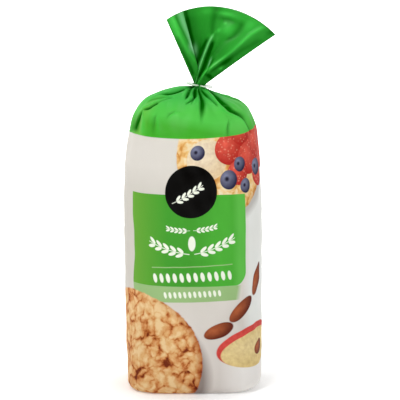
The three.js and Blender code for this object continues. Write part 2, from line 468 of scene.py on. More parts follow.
@dataclass(frozen=True)
class Swell:
    """A gentle unevenness of the film: its height, its stretch across the bag, its pitch and its seed."""

    height: float
    stretch: float
    pitch: float
    seed: int

    def relief(self, across: np.ndarray, climb: np.ndarray) -> np.ndarray:
        """Heights of the film at places across it and up it."""
        return self.height * waves(across, climb * self.stretch, self.pitch, self.seed)


@dataclass
class FilmBody:
    """The printed film from the underside up to the clip.

    crowding packs the rings' points closer on the front. The sheen spot's place, reach and strength give a
    spot of painted sheen on the shoulder, by places on the flat film.
    """

    form: BagForm
    pleats: Pleats
    around: int = 464
    crowding: float = 0.3
    base_rings: int = 8
    rounding_rings: int = 8
    wall_rings: int = 44
    shoulder_rings: int = 146
    flanks: Swell = Swell(0.3, 0.12, 19.0, 5)
    wrinkles: Swell = Swell(0.2, 0.5, 9.0, 11)
    base_creases: Swell = Swell(0.28, 0.35, 7.0, 23)
    seam_wide: float = 6.5
    seam_height: float = 0.3
    underside_relief: float = 0.35
    sheen_spot_at: tuple[float, float] = (42.0, 192.0)
    sheen_spot_reach: tuple[float, float] = (17.0, 8.0)
    sheen_spot_strength: float = 0.4
    folds: tuple[Fold, ...] = (
        Fold(((-47, 0.9, 0.8), (-45, 0.83, 1.5), (-49, 0.77, 1.9), (-56, 0.72, 1.9), (-63, 0.685, 1.6),
             (-70, 0.67, 1.1)), 2.8, 0.4, 1, 0.06),
        Fold(((-40, 0.7, 0.8), (-57, 0.63, 1.0), (-64, 0.55, 1.0), (-66, 0.48, 0.8)),
             0.9, 0.6, -1, 0.06, to_neck=False),
        Fold(((-66, 0.7, 1.0), (-68, 0.62, 1.2), (-71, 0.55, 1.0)), 0.8, 0.3, -1, 0.06, to_neck=False),
        Fold(((-38, 0.69, 0.7), (-45, 0.638, 0.8), (-49, 0.574, 0.9), (-50, 0.53, 1.0)),
             0.8, 0.5, -1, 0.05, to_neck=False),
        Fold(((-49.5, 0.55, 0.7), (-50.5, 0.52, 1.1), (-53, 0.479, 1.1), (-56, 0.434, 1.0),
             (-63, 0.392, 0.9)), 2.3, 0.8, -1, 0.03, to_neck=False),
        Fold(((-63.5, 0.385, 0.9), (-63.5, 0.35, 2.0), (-63.5, 0.292, 3.8), (-64.5, 0.24, 5.2),
             (-65, 0.2, 6.0)), 2.3, 0.6, 1, 0.03, to_neck=False),
        Fold(((-46, 0.985, 0.6), (-32, 0.93, 0.9), (-24, 0.86, 1.1), (-20.5, 0.8, 1.0), (-19, 0.74, 0.8),
             (-18, 0.7, 0.6)), 2.2, 0.7, -1, 0.08),
        Fold(((-22, 0.985, 0.5), (-14, 0.94, 0.8), (-9, 0.86, 1.1), (-6.5, 0.79, 1.0), (-6, 0.75, 0.7)),
             3.4, 0.5, -1, 0.05),
        Fold(((-6, 0.77, 0.8), (-7, 0.72, 0.8), (-10, 0.666, 0.8), (-14, 0.606, 0.6)),
             1.6, 0.6, -1, 0.05, to_neck=False),
        Fold(((-7, 0.71, 0.8), (-6, 0.6, 0.6)), 0.7, 0.2, 1, 0.05, to_neck=False),
        Fold(((-2, 0.985, 0.4), (0, 0.93, 0.6), (4, 0.86, 0.8), (5, 0.8, 1.0), (6.5, 0.72, 1.4),
             (7, 0.64, 1.7), (7, 0.55, 1.6), (7, 0.47, 1.3), (7, 0.4, 1.0)), 2.7, 0.3, -1, 0.2),
        Fold(((10, 0.985, 0.6), (13, 0.93, 1.1), (17, 0.86, 1.6), (19.5, 0.8, 1.5), (22, 0.71, 1.1),
             (24, 0.651, 1.0), (26, 0.57, 0.8)), 2.4, 0.7, 1, 0.06),
        Fold(((66, 0.985, 0.7), (58, 0.955, 1.2), (48, 0.89, 1.9), (39.5, 0.8, 2.3), (36.5, 0.72, 2.5),
             (36.5, 0.64, 2.6), (38.5, 0.58, 2.4), (41, 0.52, 2.1), (46.5, 0.484, 2.0), (51.5, 0.45, 2.0),
             (55, 0.413, 1.8), (57, 0.36, 1.3), (58.5, 0.324, 1.2), (61, 0.28, 1.0), (62, 0.25, 0.8)),
             3.6, 0.9, -1, 0.04),
        Fold(((33, 0.66, 0.9), (41, 0.56, 1.0), (47, 0.51, 0.8)), 0.6, 0.3, 1, 0.06, to_neck=False),
        Fold(((35, 0.374, 0.9), (33, 0.312, 1.2), (32, 0.22, 1.5)), 1.3, 0.3, -1, 0.08, to_neck=False),
        Fold(((-40, 0.39, 0.9), (-40.5, 0.357, 1.2), (-39, 0.302, 1.6), (-37, 0.22, 2.0)),
             0.75, 0.4, 1, 0.1, to_neck=False),
        Fold(((-47, 0.34, 1.5), (-46, 0.27, 2.0), (-45, 0.19, 2.4)), 0.3, 0.4, -1, 0.1, to_neck=False),
        Fold(((-22, 0.476, 1.2), (-26, 0.436, 1.2), (-28, 0.382, 1.0)), 0.7, 0.4, 1, 0.06, to_neck=False),
        Fold(((-34, 0.97, 0.5), (-36, 0.9, 0.8), (-35, 0.82, 0.8)), 0.8, 0.5, 1, 0.05),
    )

    def rings(self, angle: np.ndarray) -> tuple[np.ndarray, np.ndarray]:
        """Makes the plain form as rings from the underside to the neck.

        Args:
            angle: places round the bag, in radians.

        Returns:
            The points, one row a ring, and each ring's share of the shoulder, which is -1 below it.
        """
        form = self.form
        rounding = form.rounding(angle)
        base = form.wall(angle, 0, rounding)
        centre = np.array([form.wall_middle(0), 0, 0])
        flat = [centre + (base - centre) * (k / self.base_rings) for k in range(1, self.base_rings)]
        turns = np.linspace(0, math.pi / 2, self.rounding_rings + 1)
        edge = [form.wall(angle, rounding * (1 - math.cos(t)), rounding * (1 - math.sin(t))) for t in turns]
        steps = np.linspace(0, 1, self.wall_rings + 1)[1:]
        heights = [rounding + (form.shoulder_start - rounding) * step for step in steps]
        wall = [form.wall(angle, h) for h in heights]
        shares = np.linspace(0, 1, self.shoulder_rings + 1)[1:-1]
        shoulder = [form.shoulder(angle, t) for t in shares]
        necks = (-form.neck_below, -0.4, 0.4)
        neck = [form.neck(angle, up, form.neck_radius) for up in necks]
        rows = np.array(flat + edge + wall + shoulder + neck)
        before = len(flat) + len(edge) + len(wall)
        share = np.concatenate([np.full(before, -1.0), shares, np.ones(len(neck))])
        return rows, share

    def base_relief(self, x: np.ndarray, y: np.ndarray) -> np.ndarray:
        """How far the folded film of the underside stands in from the floor.

        Args:
            x: places to the right.
            y: places to the back.

        Returns:
            One height for each point.
        """
        strip = between(y, -7, 7, 0.8)
        flaps = smooth(np.abs(x) - np.abs(y), 2, 3.5) * 0.5
        return self.underside_relief * (1 - np.maximum(strip, flaps))

    def relief(
        self, angle: np.ndarray, rows: np.ndarray, share: np.ndarray, along: np.ndarray
    ) -> tuple[np.ndarray, np.ndarray]:
        """Adds up the film's folds and creases over its plain form.

        Args:
            angle: places round the bag, in radians.
            rows: the plain form's points, one row a ring.
            share: each ring's share of the shoulder.
            along: each ring's distance up the film.

        Returns:
            One height for each point, and its painted shading.
        """
        across = across_film(self.form, angle)[None, :]
        height = rows[:, :, 2]
        middle = self.form.neck_x * smooth(share)[:, None]
        radius = np.hypot(rows[:, :, 0] - middle, rows[:, :, 1])
        column = share[:, None]
        climb = along[:, None]
        # Besides the heights, the folds' painted shade and painted highlights are gathered here.
        total, painted_shade, light = np.zeros((3, *height.shape))
        for fold in self.folds + self.back_folds():
            raised, tone = fold.relief(angle[None, :], column, radius, climb)
            total += raised
            painted_shade, light = np.minimum(painted_shade, tone), np.maximum(light, tone)
        # The pleats start part way up the gather and are full just below the neck.
        gather = smooth(column, 0.7, 0.97)
        pleat = self.pleats.relief(angle)[None, :] * gather
        total -= pleat * np.clip(radius / self.form.neck_radius, 0, 1.6)
        # The pleats get painted shade too.
        painted_shade = painted_shade - 0.8 * pleat
        # The wall swells gently from above its foot up to the gather, more on the sides than on the front.
        body = smooth(height, 6, 30) * (1 - smooth(column, 0.55, 0.9))
        sides = 0.35 + 0.65 * smooth(np.abs(across), 30, 60)
        total += body * sides * self.flanks.relief(across, climb)
        total += body * self.wrinkles.relief(across, climb)
        # The lap seam stands out beside the middle of the back.
        seam = between(FILM_WIDTH / 2 - np.abs(across), -1, self.seam_wide, 0.5)
        total += self.seam_height * seam * smooth(height, 8, 14) * (1 - smooth(column, 0.6, 0.9))
        # Fine creases run round the foot of the wall.
        creases = bell(height, 9, 9) * (height > 0.01)
        total += creases * self.base_creases.relief(across, climb)
        return total, np.clip(painted_shade + light, -1, 1)

    @staticmethod
    def back_folds() -> tuple[Fold, ...]:
        """Lists the folds that only show from the sides and the back.

        Returns:
            The folds.
        """
        return (
            Fold(((-104, 0.97, 0.8), (-104, 0.7, 2.2), (-100, 0.4, 2.0)), 2.4, 0.8, -1, 0.12),
            Fold(((104, 0.97, 0.8), (104, 0.6, 2.2), (100, 0.38, 2.0)), 2.4, 0.8, 1, 0.12),
            Fold(((-118, 0.97, 0.8), (-120, 0.6, 2.2), (-124, 0.35, 2.2), (-122, 0.16, 1.6)),
                 3.6, 1.0, -1, 0.1),
            Fold(((120, 0.97, 0.8), (122, 0.6, 2.2), (126, 0.4, 2.2), (124, 0.16, 1.6)), 3.8, 1.0, 1, 0.1),
            Fold(((-142, 0.97, 0.8), (-141, 0.6, 2.0), (-138, 0.38, 1.8)), 2.4, 0.7, 1, 0.12),
            Fold(((-166, 0.97, 0.8), (-165, 0.5, 2.2), (-163, 0.3, 1.8)), 2.6, 0.6, -1, 0.12),
            Fold(((172, 0.97, 0.8), (174, 0.6, 1.9), (177, 0.4, 1.7)), 2.2, 0.7, 1, 0.12),
            Fold(((146, 0.97, 0.8), (144, 0.6, 2.1), (141, 0.33, 1.9)), 2.8, 0.8, -1, 0.12),
            Fold(((-154, 0.97, 0.7), (-156, 0.72, 1.4)), 1.5, 0.5, 1, 0.1),
            Fold(((159, 0.97, 0.7), (160, 0.74, 1.4)), 1.4, 0.5, 1, 0.1),
            Fold(((-130, 0.97, 0.7), (-131, 0.66, 1.5)), 1.5, 0.5, 1, 0.1),
            Fold(((133, 0.97, 0.7), (134, 0.7, 1.5)), 1.4, 0.5, 1, 0.1),
        )

    def build(self) -> bpy.types.Object:
        """Makes the film's mesh from underside to neck.

        Returns:
            The new object.
        """
        even = np.linspace(-math.pi, math.pi, self.around, endpoint=False)
        angle = even - self.crowding * np.sin(even)
        rows, share = self.rings(angle)
        steps = np.linalg.norm(np.diff(rows, axis=0), axis=2)
        along = np.concatenate([np.zeros((1, self.around)), np.cumsum(steps, axis=0)])
        along += self.form.base_rounding - along[self.base_rings - 1 + self.rounding_rings]
        climb = along[:, np.argmin(np.abs(angle))]
        round_way = np.roll(rows, -1, 1) - np.roll(rows, 1, 1)
        up_way = np.gradient(rows, axis=0)
        normal = np.cross(round_way, up_way)
        normal /= np.linalg.norm(normal, axis=2, keepdims=True)
        raised, tone = self.relief(angle, rows, share, climb)
        rows = rows + normal * raised[:, :, None]
        flat = np.arange(len(rows))[:, None] < self.base_rings + 1
        rows[:, :, 2] += np.where(flat, self.base_relief(rows[:, :, 0], rows[:, :, 1]), 0)
        rows[:, :, 2] -= rows[:, :, 2].min()
        across = across_film(self.form, angle)
        pole = (float(self.form.wall_middle(0)), 0.0, float(rows[0, :, 2].min()))
        # A spot of painted sheen on the right of the shoulder.
        sheen_spot = bell(across[None, :], self.sheen_spot_at[0], self.sheen_spot_reach[0])
        sheen_spot = self.sheen_spot_strength * sheen_spot * bell(along, self.sheen_spot_at[1], self.sheen_spot_reach[1])
        return Grid(rows, across, along, tone, sheen_spot, pole).build("film_body")


@dataclass(frozen=True)
class Ruling:
    """One line of the fan's film, from its place in the neck to its place at the mouth.

    share and depth place it at the mouth, bend is how far it bows to the right half way, and the last two
    numbers are the painted shading laid along it near the neck and at the mouth: painted shade below 0,
    a painted highlight above 0.
    """

    share: float
    depth: float
    neck_x: float
    neck_y: float
    bend: float = 0.0
    low_painted_shading: float = -0.3
    high_painted_shading: float = 0.0

    def row(self) -> tuple[float, ...]:
        """All the numbers, in order."""
        return self.share, self.depth, self.neck_x, self.neck_y, self.bend, self.low_painted_shading, self.high_painted_shading


@dataclass(frozen=True)
class Mark:
    """Something pressed into the fan's film: how far it stands out, the painted shading laid on it (painted
    shade below 0, a painted highlight above 0), and its painted sheen.
    """

    height: float
    tone: float
    painted_sheen: float = field(default=0.0, kw_only=True)


@dataclass(frozen=True)
class Crease(Mark):
    """A long ridge or valley.

    path runs up from its foot, as shares of the fan's spread and of its reach. wide is its half width at
    its foot and at its top.
    """

    path: tuple[tuple[float, float], ...]
    wide: tuple[float, float]

    def weight(self, share: np.ndarray, rise: np.ndarray, arc: np.ndarray) -> np.ndarray:
        """Finds how strongly the crease shows at places of the fan.

        Args:
            share: places across the fan's spread, from 0 to 1.
            rise: places up its reach, from 0 to 1.
            arc: the spread's width at each place.

        Returns:
            One strength of 0 to 1 for each place.
        """
        shares, rises = np.array(self.path).T
        nearby = (-0.03, 0.0, 0.03)
        centre = sum(np.interp(rise + step, rises, shares) for step in nearby) / len(nearby)
        wide = np.interp(rise, rises[[0, -1]], self.wide)
        return bell((share - centre) * arc, 0, wide) * between(rise, rises[0], rises[-1], 0.04)


@dataclass(frozen=True)
class Patch(Mark):
    """A soft spot: its share of the fan's spread and of its reach, and its half width and half height."""

    share: float
    rise: float
    wide: float
    tall: float

    def weight(self, share: np.ndarray, rise: np.ndarray, arc: np.ndarray) -> np.ndarray:
        """How strongly the spot shows at places of the fan, where arc is the spread's width there."""
        sideways, upwards = (share - self.share) * arc, (rise - self.rise) * FAN_REACH
        return bell(sideways, 0, self.wide) * bell(upwards, 0, self.tall)


@dataclass
class FilmFan:
    """The spare film above the clip: a flattened tube with its sides tucked in, spread into a fan.

    left and right are the fan's edges, in degrees from upright as seen from its apex, and the reach is
    longest to the right. The tables list the film's rulings in order round the mouth, from the front's left
    edge. The front's first rulings, up to strip_end, are a folded strip that strip_marks lie on, and
    face_marks lie on the rest. The rulings start at foot above the clip's middle, and below are two more
    rings down inside the clip. ripple is the front's unevenness, over a sheet of ripple_size.
    """

    form: BagForm
    apex_x: float = 2.3
    apex_z: float = 219.5
    left: float = -22.4
    right: float = 55.6
    reach_per_degree: float = 0.195
    reach_bow: float = 4.6e-4
    reach_middle: float = 16.6
    thickness: float = 0.16
    around: int = 600
    rings: int = 76
    corner_rounding: float = 0.4
    ring_crowding: float = 1.1
    foot: float = 0.6
    below: tuple[float, float] = (-0.6, 0.1)
    below_share: float = 0.95
    ripple: Swell = Swell(0.2, 1.0, 13.0, 3)
    ripple_size: tuple[float, float] = (84.0, 40.0)
    # The last two numbers of each ruling are painted shading: painted shade in recesses and tucks below 0, a
    # painted highlight above 0.
    front: tuple[Ruling, ...] = (
        Ruling(-0.022, -0.3, -3.9, -0.6, 0.0, -0.5, -0.3), Ruling(0.012, -2.6, -1.8, -1.4, 0.0, -0.5, 0.35),
        Ruling(0.05, -5.0, 0.6, -1.8, 0.0, -0.3, 0.3), Ruling(0.1, -4.6, 1.6, -1.7, 0.0, -0.2, 0.0),
        Ruling(0.166, -4.2, 2.6, -1.4, 0.0, -0.2, 0.1), Ruling(0.118, -1.6, 1.6, -0.6, 0.0, -0.9, -0.6),
        Ruling(0.185, 0.6, 1.4, -0.4, 0.0, -0.5, -0.4), Ruling(0.25, 1.2, 0.4, -0.8, 0.0, -0.5, -0.28),
        Ruling(0.34, 0.9, -1.2, -1.6, 0.0, -0.55, -0.15), Ruling(0.44, 0.2, -2.6, -2.8, -0.6, -0.6, -0.1),
        Ruling(0.5, -1.4, -3.5, -4.2, -0.3, 0.0, -0.1), Ruling(0.56, -0.9, -1.9, -3.0, -0.3, -0.5, 0.1),
        Ruling(0.62, -1.8, -1.6, -4.0, -1.3, -0.3, 0.1), Ruling(0.7, -3.4, -1.7, -3.8, -3.0, -0.5, 0.1),
        Ruling(0.8, -5.4, -2.0, -4.2, -4.4, -0.2, 0.1), Ruling(0.905, -7.4, -2.1, -4.8, -4.0, 0.1, 0.15),
        Ruling(0.935, -5.0, -0.5, -4.3, -3.2, -0.5, -0.1), Ruling(0.97, -2.4, 3.2, -2.8, -1.2, -0.4, -0.15),
        Ruling(1.018, -0.3, 4.0, -0.8, -0.6, -0.5, -0.4),
    )
    right_tuck: tuple[Ruling, ...] = (
        Ruling(0.79, 1.6, 2.5, 0.0, 0.0, -1.0, -0.8), Ruling(1.018, 2.0, 4.0, 0.8, -0.6),
    )
    back: tuple[Ruling, ...] = (
        Ruling(0.93, 5.0, 3.4, 3.0), Ruling(0.8, 4.2, 2.4, 2.6, 0.0, -0.8, -0.2),
        Ruling(0.7, 6.0, 1.6, 4.2), Ruling(0.55, 4.4, 0.6, 3.0, 0.0, -0.8, -0.2),
        Ruling(0.4, 6.2, -0.4, 4.2), Ruling(0.28, 4.2, -1.2, 2.8, 0, -0.8), Ruling(0.16, 5.6, -2.2, 4.0),
        Ruling(0.06, 4.0, -3.2, 2.6), Ruling(-0.022, 1.3, -3.9, 0.8),
    )
    left_tuck: tuple[Ruling, ...] = (Ruling(0.1, 0.8, -2.5, 0.0, 0.0, -1.0, -0.8),)
    strip_end: int = 4
    # Each mark's second number is painted shading (painted shade below 0, a painted highlight above 0), and
    # the keyword gives painted sheen.
    strip_marks: tuple[Mark, ...] = (
        Crease(-0.3, -0.5, ((0.13, 0.16), (0.07, 0.32), (0.02, 0.49), (0.003, 0.72)), (1.5, 2.0)),
        Crease(0.2, 0.25, ((0.256, 0.318), (0.111, 0.5), (0.06, 0.7), (0.046, 1.1)), (1.3, 2.2)),
        Crease(0.2, 0.1, ((0.246, 0.43), (0.186, 0.66), (0.15, 0.83), (0.125, 1.1)), (0.8, 2.4), painted_sheen=0.5),
        Crease(-0.1, -0.4, ((0.19, 0.5), (0.13, 0.7), (0.09, 0.9), (0.08, 1.1)), (0.5, 0.9)),
        Patch(0.0, 0.0, 0.2, 0.53, 2.0, 3.5, painted_sheen=0.4),
    )
    face_marks: tuple[Mark, ...] = (
        Crease(0.0, -0.5, ((0.25, 0.54), (0.212, 0.681), (0.178, 1.1)), (1.2, 1.6)),
        Crease(0.0, -0.2, ((0.366, 0.336), (0.316, 0.466), (0.257, 0.681), (0.217, 0.9)), (4.0, 6.0)),
        Patch(0.0, -0.3, 0.38, 0.44, 2.6, 7.0), Patch(0.0, 0.1, 0.27, 0.47, 1.6, 4.0, painted_sheen=0.35),
        Patch(0.0, 0.3, 0.39, 0.95, 6.0, 3.5),
        Crease(-0.2, -0.45, ((0.51, 0.64), (0.485, 0.74), (0.47, 0.85), (0.465, 1.1)), (1.5, 3.0)),
        Crease(0.7, 0.9, ((0.1, 0.063), (0.27, 0.14), (0.38, 0.211), (0.425, 0.286), (0.474, 0.448),
               (0.501, 0.6), (0.513, 0.645)), (0.8, 1.0), painted_sheen=0.3),
        Crease(-0.8, -1.0, ((0.516, 0.113), (0.562, 0.191), (0.566, 0.267), (0.556, 0.342), (0.546, 0.492),
               (0.548, 0.575)), (1.0, 1.6)),
        Crease(-0.5, -0.8, ((0.2, 0.196), (0.34, 0.338), (0.42, 0.459), (0.46, 0.608)), (0.9, 1.4)),
        Crease(0.4, 0.5, ((0.672, 0.273), (0.647, 0.329), (0.635, 0.379)), (0.4, 0.5), painted_sheen=0.5),
        Crease(-0.4, -0.6, ((0.766, 0.128), (0.71, 0.283), (0.69, 0.386)), (0.6, 0.8)),
        Patch(0.0, -0.25, 0.67, 0.46, 7.0, 6.0),
        Crease(0.0, 0.3, ((0.6, 0.12), (0.693, 0.216), (0.741, 0.272), (0.816, 0.386), (0.849, 0.47)),
               (1.2, 1.2)),
        Crease(0.6, 0.4, ((0.6, 0.12), (0.693, 0.216), (0.741, 0.272), (0.779, 0.323), (0.816, 0.386),
               (0.849, 0.461), (0.866, 0.542), (0.868, 0.685), (0.866, 0.79), (0.875, 0.885), (0.9, 0.97)),
               (0.9, 1.3)),
        Crease(-0.1, -0.35, ((0.835, 0.227), (0.88, 0.303), (0.914, 0.375), (0.934, 0.547), (0.941, 0.639),
               (0.962, 0.731), (0.97, 0.85)), (1.2, 2.2)),
        Crease(-0.4, -0.55, ((0.7, 0.64), (0.74, 0.681), (0.76, 0.748), (0.756, 0.829), (0.737, 0.901)),
               (1.5, 2.2)),
        Patch(-0.3, -0.4, 0.94, 0.43, 2.5, 4.0), Patch(0.5, 0.9, 0.963, 0.331, 1.0, 1.5),
        Patch(-0.3, -0.9, 0.925, 0.185, 2.8, 1.2), Patch(0.3, 0.4, 0.57, 0.935, 7.0, 1.2),
        Patch(-0.5, -0.55, 0.608, 0.872, 7.0, 1.6), Patch(0.2, 0.45, 0.567, 0.723, 1.3, 1.6),
        Patch(0.2, 0.45, 0.603, 0.822, 1.0, 1.2), Patch(0.3, 0.6, 0.517, 0.651, 0.8, 1.4),
        Patch(0.4, 0.4, 0.65, 0.77, 3.6, 4.0), Patch(0.2, 0.3, 0.53, 0.69, 1.0, 1.5),
        Patch(0.3, 0.25, 0.811, 0.915, 3.0, 4.0), Patch(0.0, -0.5, 0.974, 0.99, 2.0, 3.0),
    )

    def place(self, points: np.ndarray) -> tuple[np.ndarray, np.ndarray, np.ndarray]:
        """Finds points on the fan.

        Args:
            points: points of the fan.

        Returns:
            Each point's share of the spread and of the reach, and the spread's width there.
        """
        x, z = points[..., 0] - self.apex_x, points[..., 2] - self.apex_z
        degrees = np.degrees(np.arctan2(x, z))
        away = np.hypot(x, z)
        share = (degrees - self.left) / (self.right - self.left)
        return share, away / self.reach(degrees), away * math.radians(self.right - self.left)

    def reach(self, degrees: np.ndarray) -> np.ndarray:
        """How far the mouth is from the fan's centre, at an angle from upright."""
        bow = self.reach_bow * (degrees - self.reach_middle) ** 2
        return FAN_REACH + self.reach_per_degree * degrees + bow

    def mouth(self, share: np.ndarray, depth: np.ndarray) -> np.ndarray:
        """Makes points of the mouth's edge.

        Args:
            share: places across the fan's spread.
            depth: places to the back.

        Returns:
            The points.
        """
        turn = np.radians(self.left + (self.right - self.left) * share)
        reach = self.reach(np.degrees(turn))
        return np.stack([self.apex_x + reach * np.sin(turn), depth, self.apex_z + reach * np.cos(turn)], 1)

    def build(self) -> bpy.types.Object:
        """Makes the fan's mesh: up the outside from within the clip to the open mouth, and down the inside.

        Returns:
            The new object.
        """
        span = math.radians(self.right - self.left) * FAN_REACH
        lines = [*self.front, *self.right_tuck, *self.back, *self.left_tuck]
        corners = np.array([line.row() for line in lines]) * [span, 1, 1, 1, 1, 1, 1]
        loop, passed = rounded_loop(corners, self.around, self.corner_rounding)
        share, (depth, neck_x, neck_y, bend, low_painted_shading, high_painted_shading) = loop[:, 0] / span, loop[:, 1:].T
        start, mouth = self.form.on_neck(neck_x, neck_y, self.foot), self.mouth(share, depth)
        rises = np.linspace(0, 1, self.rings) ** self.ring_crowding
        rise = rises[:, None]
        rows = start + (mouth - start) * rise[:, :, None]
        rows[:, :, 0] += 4 * rise * (1 - rise) * bend
        # Painted shading runs along each ruling, from near the neck to the mouth.
        tone = low_painted_shading + (high_painted_shading - low_painted_shading) * smooth(rise, 0.1, 1.0)
        painted_sheen = np.zeros(tone.shape)
        on_strip = between(passed, 0.4, self.strip_end + 0.3, 0.3)
        on_face = between(passed, self.strip_end + 1.4, len(self.front) - 1.4, 0.3)
        wide, tall = self.ripple_size
        rows[:, :, 1] -= on_face * self.ripple.relief(share * wide, rise * tall) * smooth(rise, 0.1, 0.4)
        places = self.place(rows)
        # Each mark presses the film in or out, and lays painted shading and painted sheen on it.
        for marks, layer in ((self.strip_marks, on_strip), (self.face_marks, on_face)):
            for mark in marks:
                weight = layer * mark.weight(*places)
                rows[:, :, 1] -= mark.height * weight
                tone = tone + mark.tone * weight
                painted_sheen = painted_sheen + mark.painted_sheen * weight
        small = (self.below_share * neck_x, self.below_share * neck_y)
        below = [self.form.on_neck(*small, up) for up in self.below]
        outside = np.concatenate([np.array(below), rows])
        tone = np.clip(np.concatenate([[low_painted_shading, low_painted_shading], tone]), -1, 1)
        painted_sheen = np.clip(np.concatenate([painted_sheen[:1], painted_sheen[:1], painted_sheen]), 0, 1)
        normal = np.cross(np.roll(outside, -1, 1) - np.roll(outside, 1, 1), np.gradient(outside, axis=0))
        normal /= np.linalg.norm(normal, axis=2, keepdims=True)
        inside = outside - normal * self.thickness
        across = np.linspace(-FILM_WIDTH / 2, FILM_WIDTH / 2, self.around, endpoint=False)
        along = FAN_FILM_START + np.concatenate([[0, 0.7], FAN_FOOT + rises * FAN_REACH])
        both = np.concatenate([along, 2 * along[-1] + self.thickness - along[::-1]])
        points = np.concatenate([outside, inside[::-1]])
        painted_shadings, painted_sheens = (np.concatenate([one, one[::-1]]) for one in (tone, painted_sheen))
        return Grid(points, across, np.repeat(both[:, None], self.around, 1), painted_shadings, painted_sheens).build("film_fan")


@dataclass
class Clip:
    """The flat plastic clip round the neck, with its slit to the front."""

    form: BagForm
    width: float
    front: float
    back: float
    thickness: float = 0.8
    corner: float = 3.0
    slit: float = 1.2
    lead_in: float = 2.0
    gap: float = 0.35
    edge_rounding: float = 0.2
    arc_points: int = 20

    def outline(self) -> list[tuple[float, float]]:
        """Draws the clip's outline seen from above, anticlockwise from the notch's right edge.

        Returns:
            The outline's points.
        """
        right, front, back, r = self.width / 2, -self.front, self.back, self.corner

        def arc(
            x: float, y: float, rx: float, ry: float, start: float, end: float
        ) -> list[tuple[float, float]]:
            """Points of an ellipse round a centre, from one angle to another."""
            turns = np.linspace(start, end, self.arc_points)
            return [(x + rx * math.cos(t), y + ry * math.sin(t)) for t in turns]

        hole = (self.form.neck_radius + self.gap, self.form.neck_radius * self.form.neck_flatness + self.gap)
        slit = math.asin(self.slit / 2 / hole[0])
        quarter = TURN / 4
        return [
            (self.lead_in, front),
            *arc(right - r, front + r, r, r, -quarter, 0),
            *arc(right - r, back - r, r, r, 0, quarter),
            *arc(r - right, back - r, r, r, quarter, 2 * quarter),
            *arc(r - right, front + r, r, r, 2 * quarter, 3 * quarter),
            (-self.lead_in, front),
            (-self.slit / 2, front + self.lead_in),
            *arc(0, 0, *hole, -quarter - slit, slit - 5 * quarter),
            (self.slit / 2, front + self.lead_in),
        ]

    def build(self) -> bpy.types.Object:
        """Makes the clip's mesh, with rounded edges, on the leaning neck.

        Returns:
            The new object.
        """
        curve = bpy.data.curves.new("clip_outline", "CURVE")
        curve.dimensions = "2D"
        curve.fill_mode = "BOTH"
        curve.extrude = (self.thickness / 2 - self.edge_rounding) * MM
        curve.bevel_depth = self.edge_rounding * MM
        curve.bevel_resolution = 3
        curve.offset = -self.edge_rounding * MM
        points = self.outline()
        spline = curve.splines.new("POLY")
        spline.points.add(len(points) - 1)
        for point, (x, y) in zip(spline.points, points):
            point.co = (x * MM, y * MM, 0, 1)
        spline.use_cyclic_u = True
        holder = bpy.data.objects.new("clip_outline", curve)
        bpy.context.scene.collection.objects.link(holder)
        bpy.context.view_layer.update()
        mesh = bpy.data.meshes.new_from_object(holder.evaluated_get(bpy.context.evaluated_depsgraph_get()))
        bpy.data.objects.remove(holder)
        bpy.data.curves.remove(curve)
        place = Matrix.Translation(Vector((self.form.neck_x, 0, self.form.neck_z)) * MM)
        mesh.transform(place @ Matrix.Rotation(self.form.neck_lean, 4, "Y"))
        mesh.materials.clear()
        made = bpy.data.objects.new("neck_clip", mesh)
        bpy.context.scene.collection.objects.link(made)
        return made


# ---------------------------------------------------------------- shader maths


class Wire:
    """A number that varies over a surface, with the arithmetic that the finishes are written in."""

    def __init__(self, graph: "Graph", socket: bpy.types.NodeSocket) -> None:
        """Wraps an output socket of a graph."""
        self.graph = graph
        self.socket = socket

    def _maths(self, operation: str, *others: "Wire | float") -> "Wire":
        """This number and others through one Math node."""
        return self.graph.maths(operation, self, *others)

    def __add__(self, other: "Wire | float") -> "Wire":
        """The sum."""
        return self._maths("ADD", other)

    def __radd__(self, other: float) -> "Wire":
        """The sum, with a plain number first."""
        return self._maths("ADD", other)

    def __sub__(self, other: "Wire | float") -> "Wire":
        """The difference."""
        return self._maths("SUBTRACT", other)

    def __rsub__(self, other: float) -> "Wire":
        """The difference, with a plain number first."""
        return self.graph.maths("SUBTRACT", other, self)

    def __mul__(self, other: "Wire | float") -> "Wire":
        """The product."""
        return self._maths("MULTIPLY", other)

    def __rmul__(self, other: float) -> "Wire":
        """The product, with a plain number first."""
        return self._maths("MULTIPLY", other)

    def __truediv__(self, other: "Wire | float") -> "Wire":
        """The quotient."""
        return self._maths("DIVIDE", other)

    def __abs__(self) -> "Wire":
        """The size without its sign."""
        return self._maths("ABSOLUTE")

    def least(self, other: "Wire | float") -> "Wire":
        """The lesser of the two."""
        return self._maths("MINIMUM", other)

    def most(self, other: "Wire | float") -> "Wire":
        """The greater of the two."""
        return self._maths("MAXIMUM", other)

    def cell(self) -> "Wire":
        """The part after the point."""
        return self._maths("FRACT")

    def ramp(self, start: float, end: float) -> "Wire":
        """A straight slope from 0 at start to 1 at end, level beyond both."""
        return ((self - start) / (end - start)).least(1).most(0)

    def mask(self, sharpness: float) -> "Wire":
        """Makes a mask from a signed distance that is above 0 inside.

        Args:
            sharpness: how steeply the mask rises at its edge.

        Returns:
            1 inside and 0 outside, with a short soft edge.
        """
        settings = {"operation": "MULTIPLY_ADD", "use_clamp": True}
        made = self.graph.node("ShaderNodeMath", settings, {0: self, 1: sharpness, 2: 0.5})
        return Wire(self.graph, made.outputs[0])


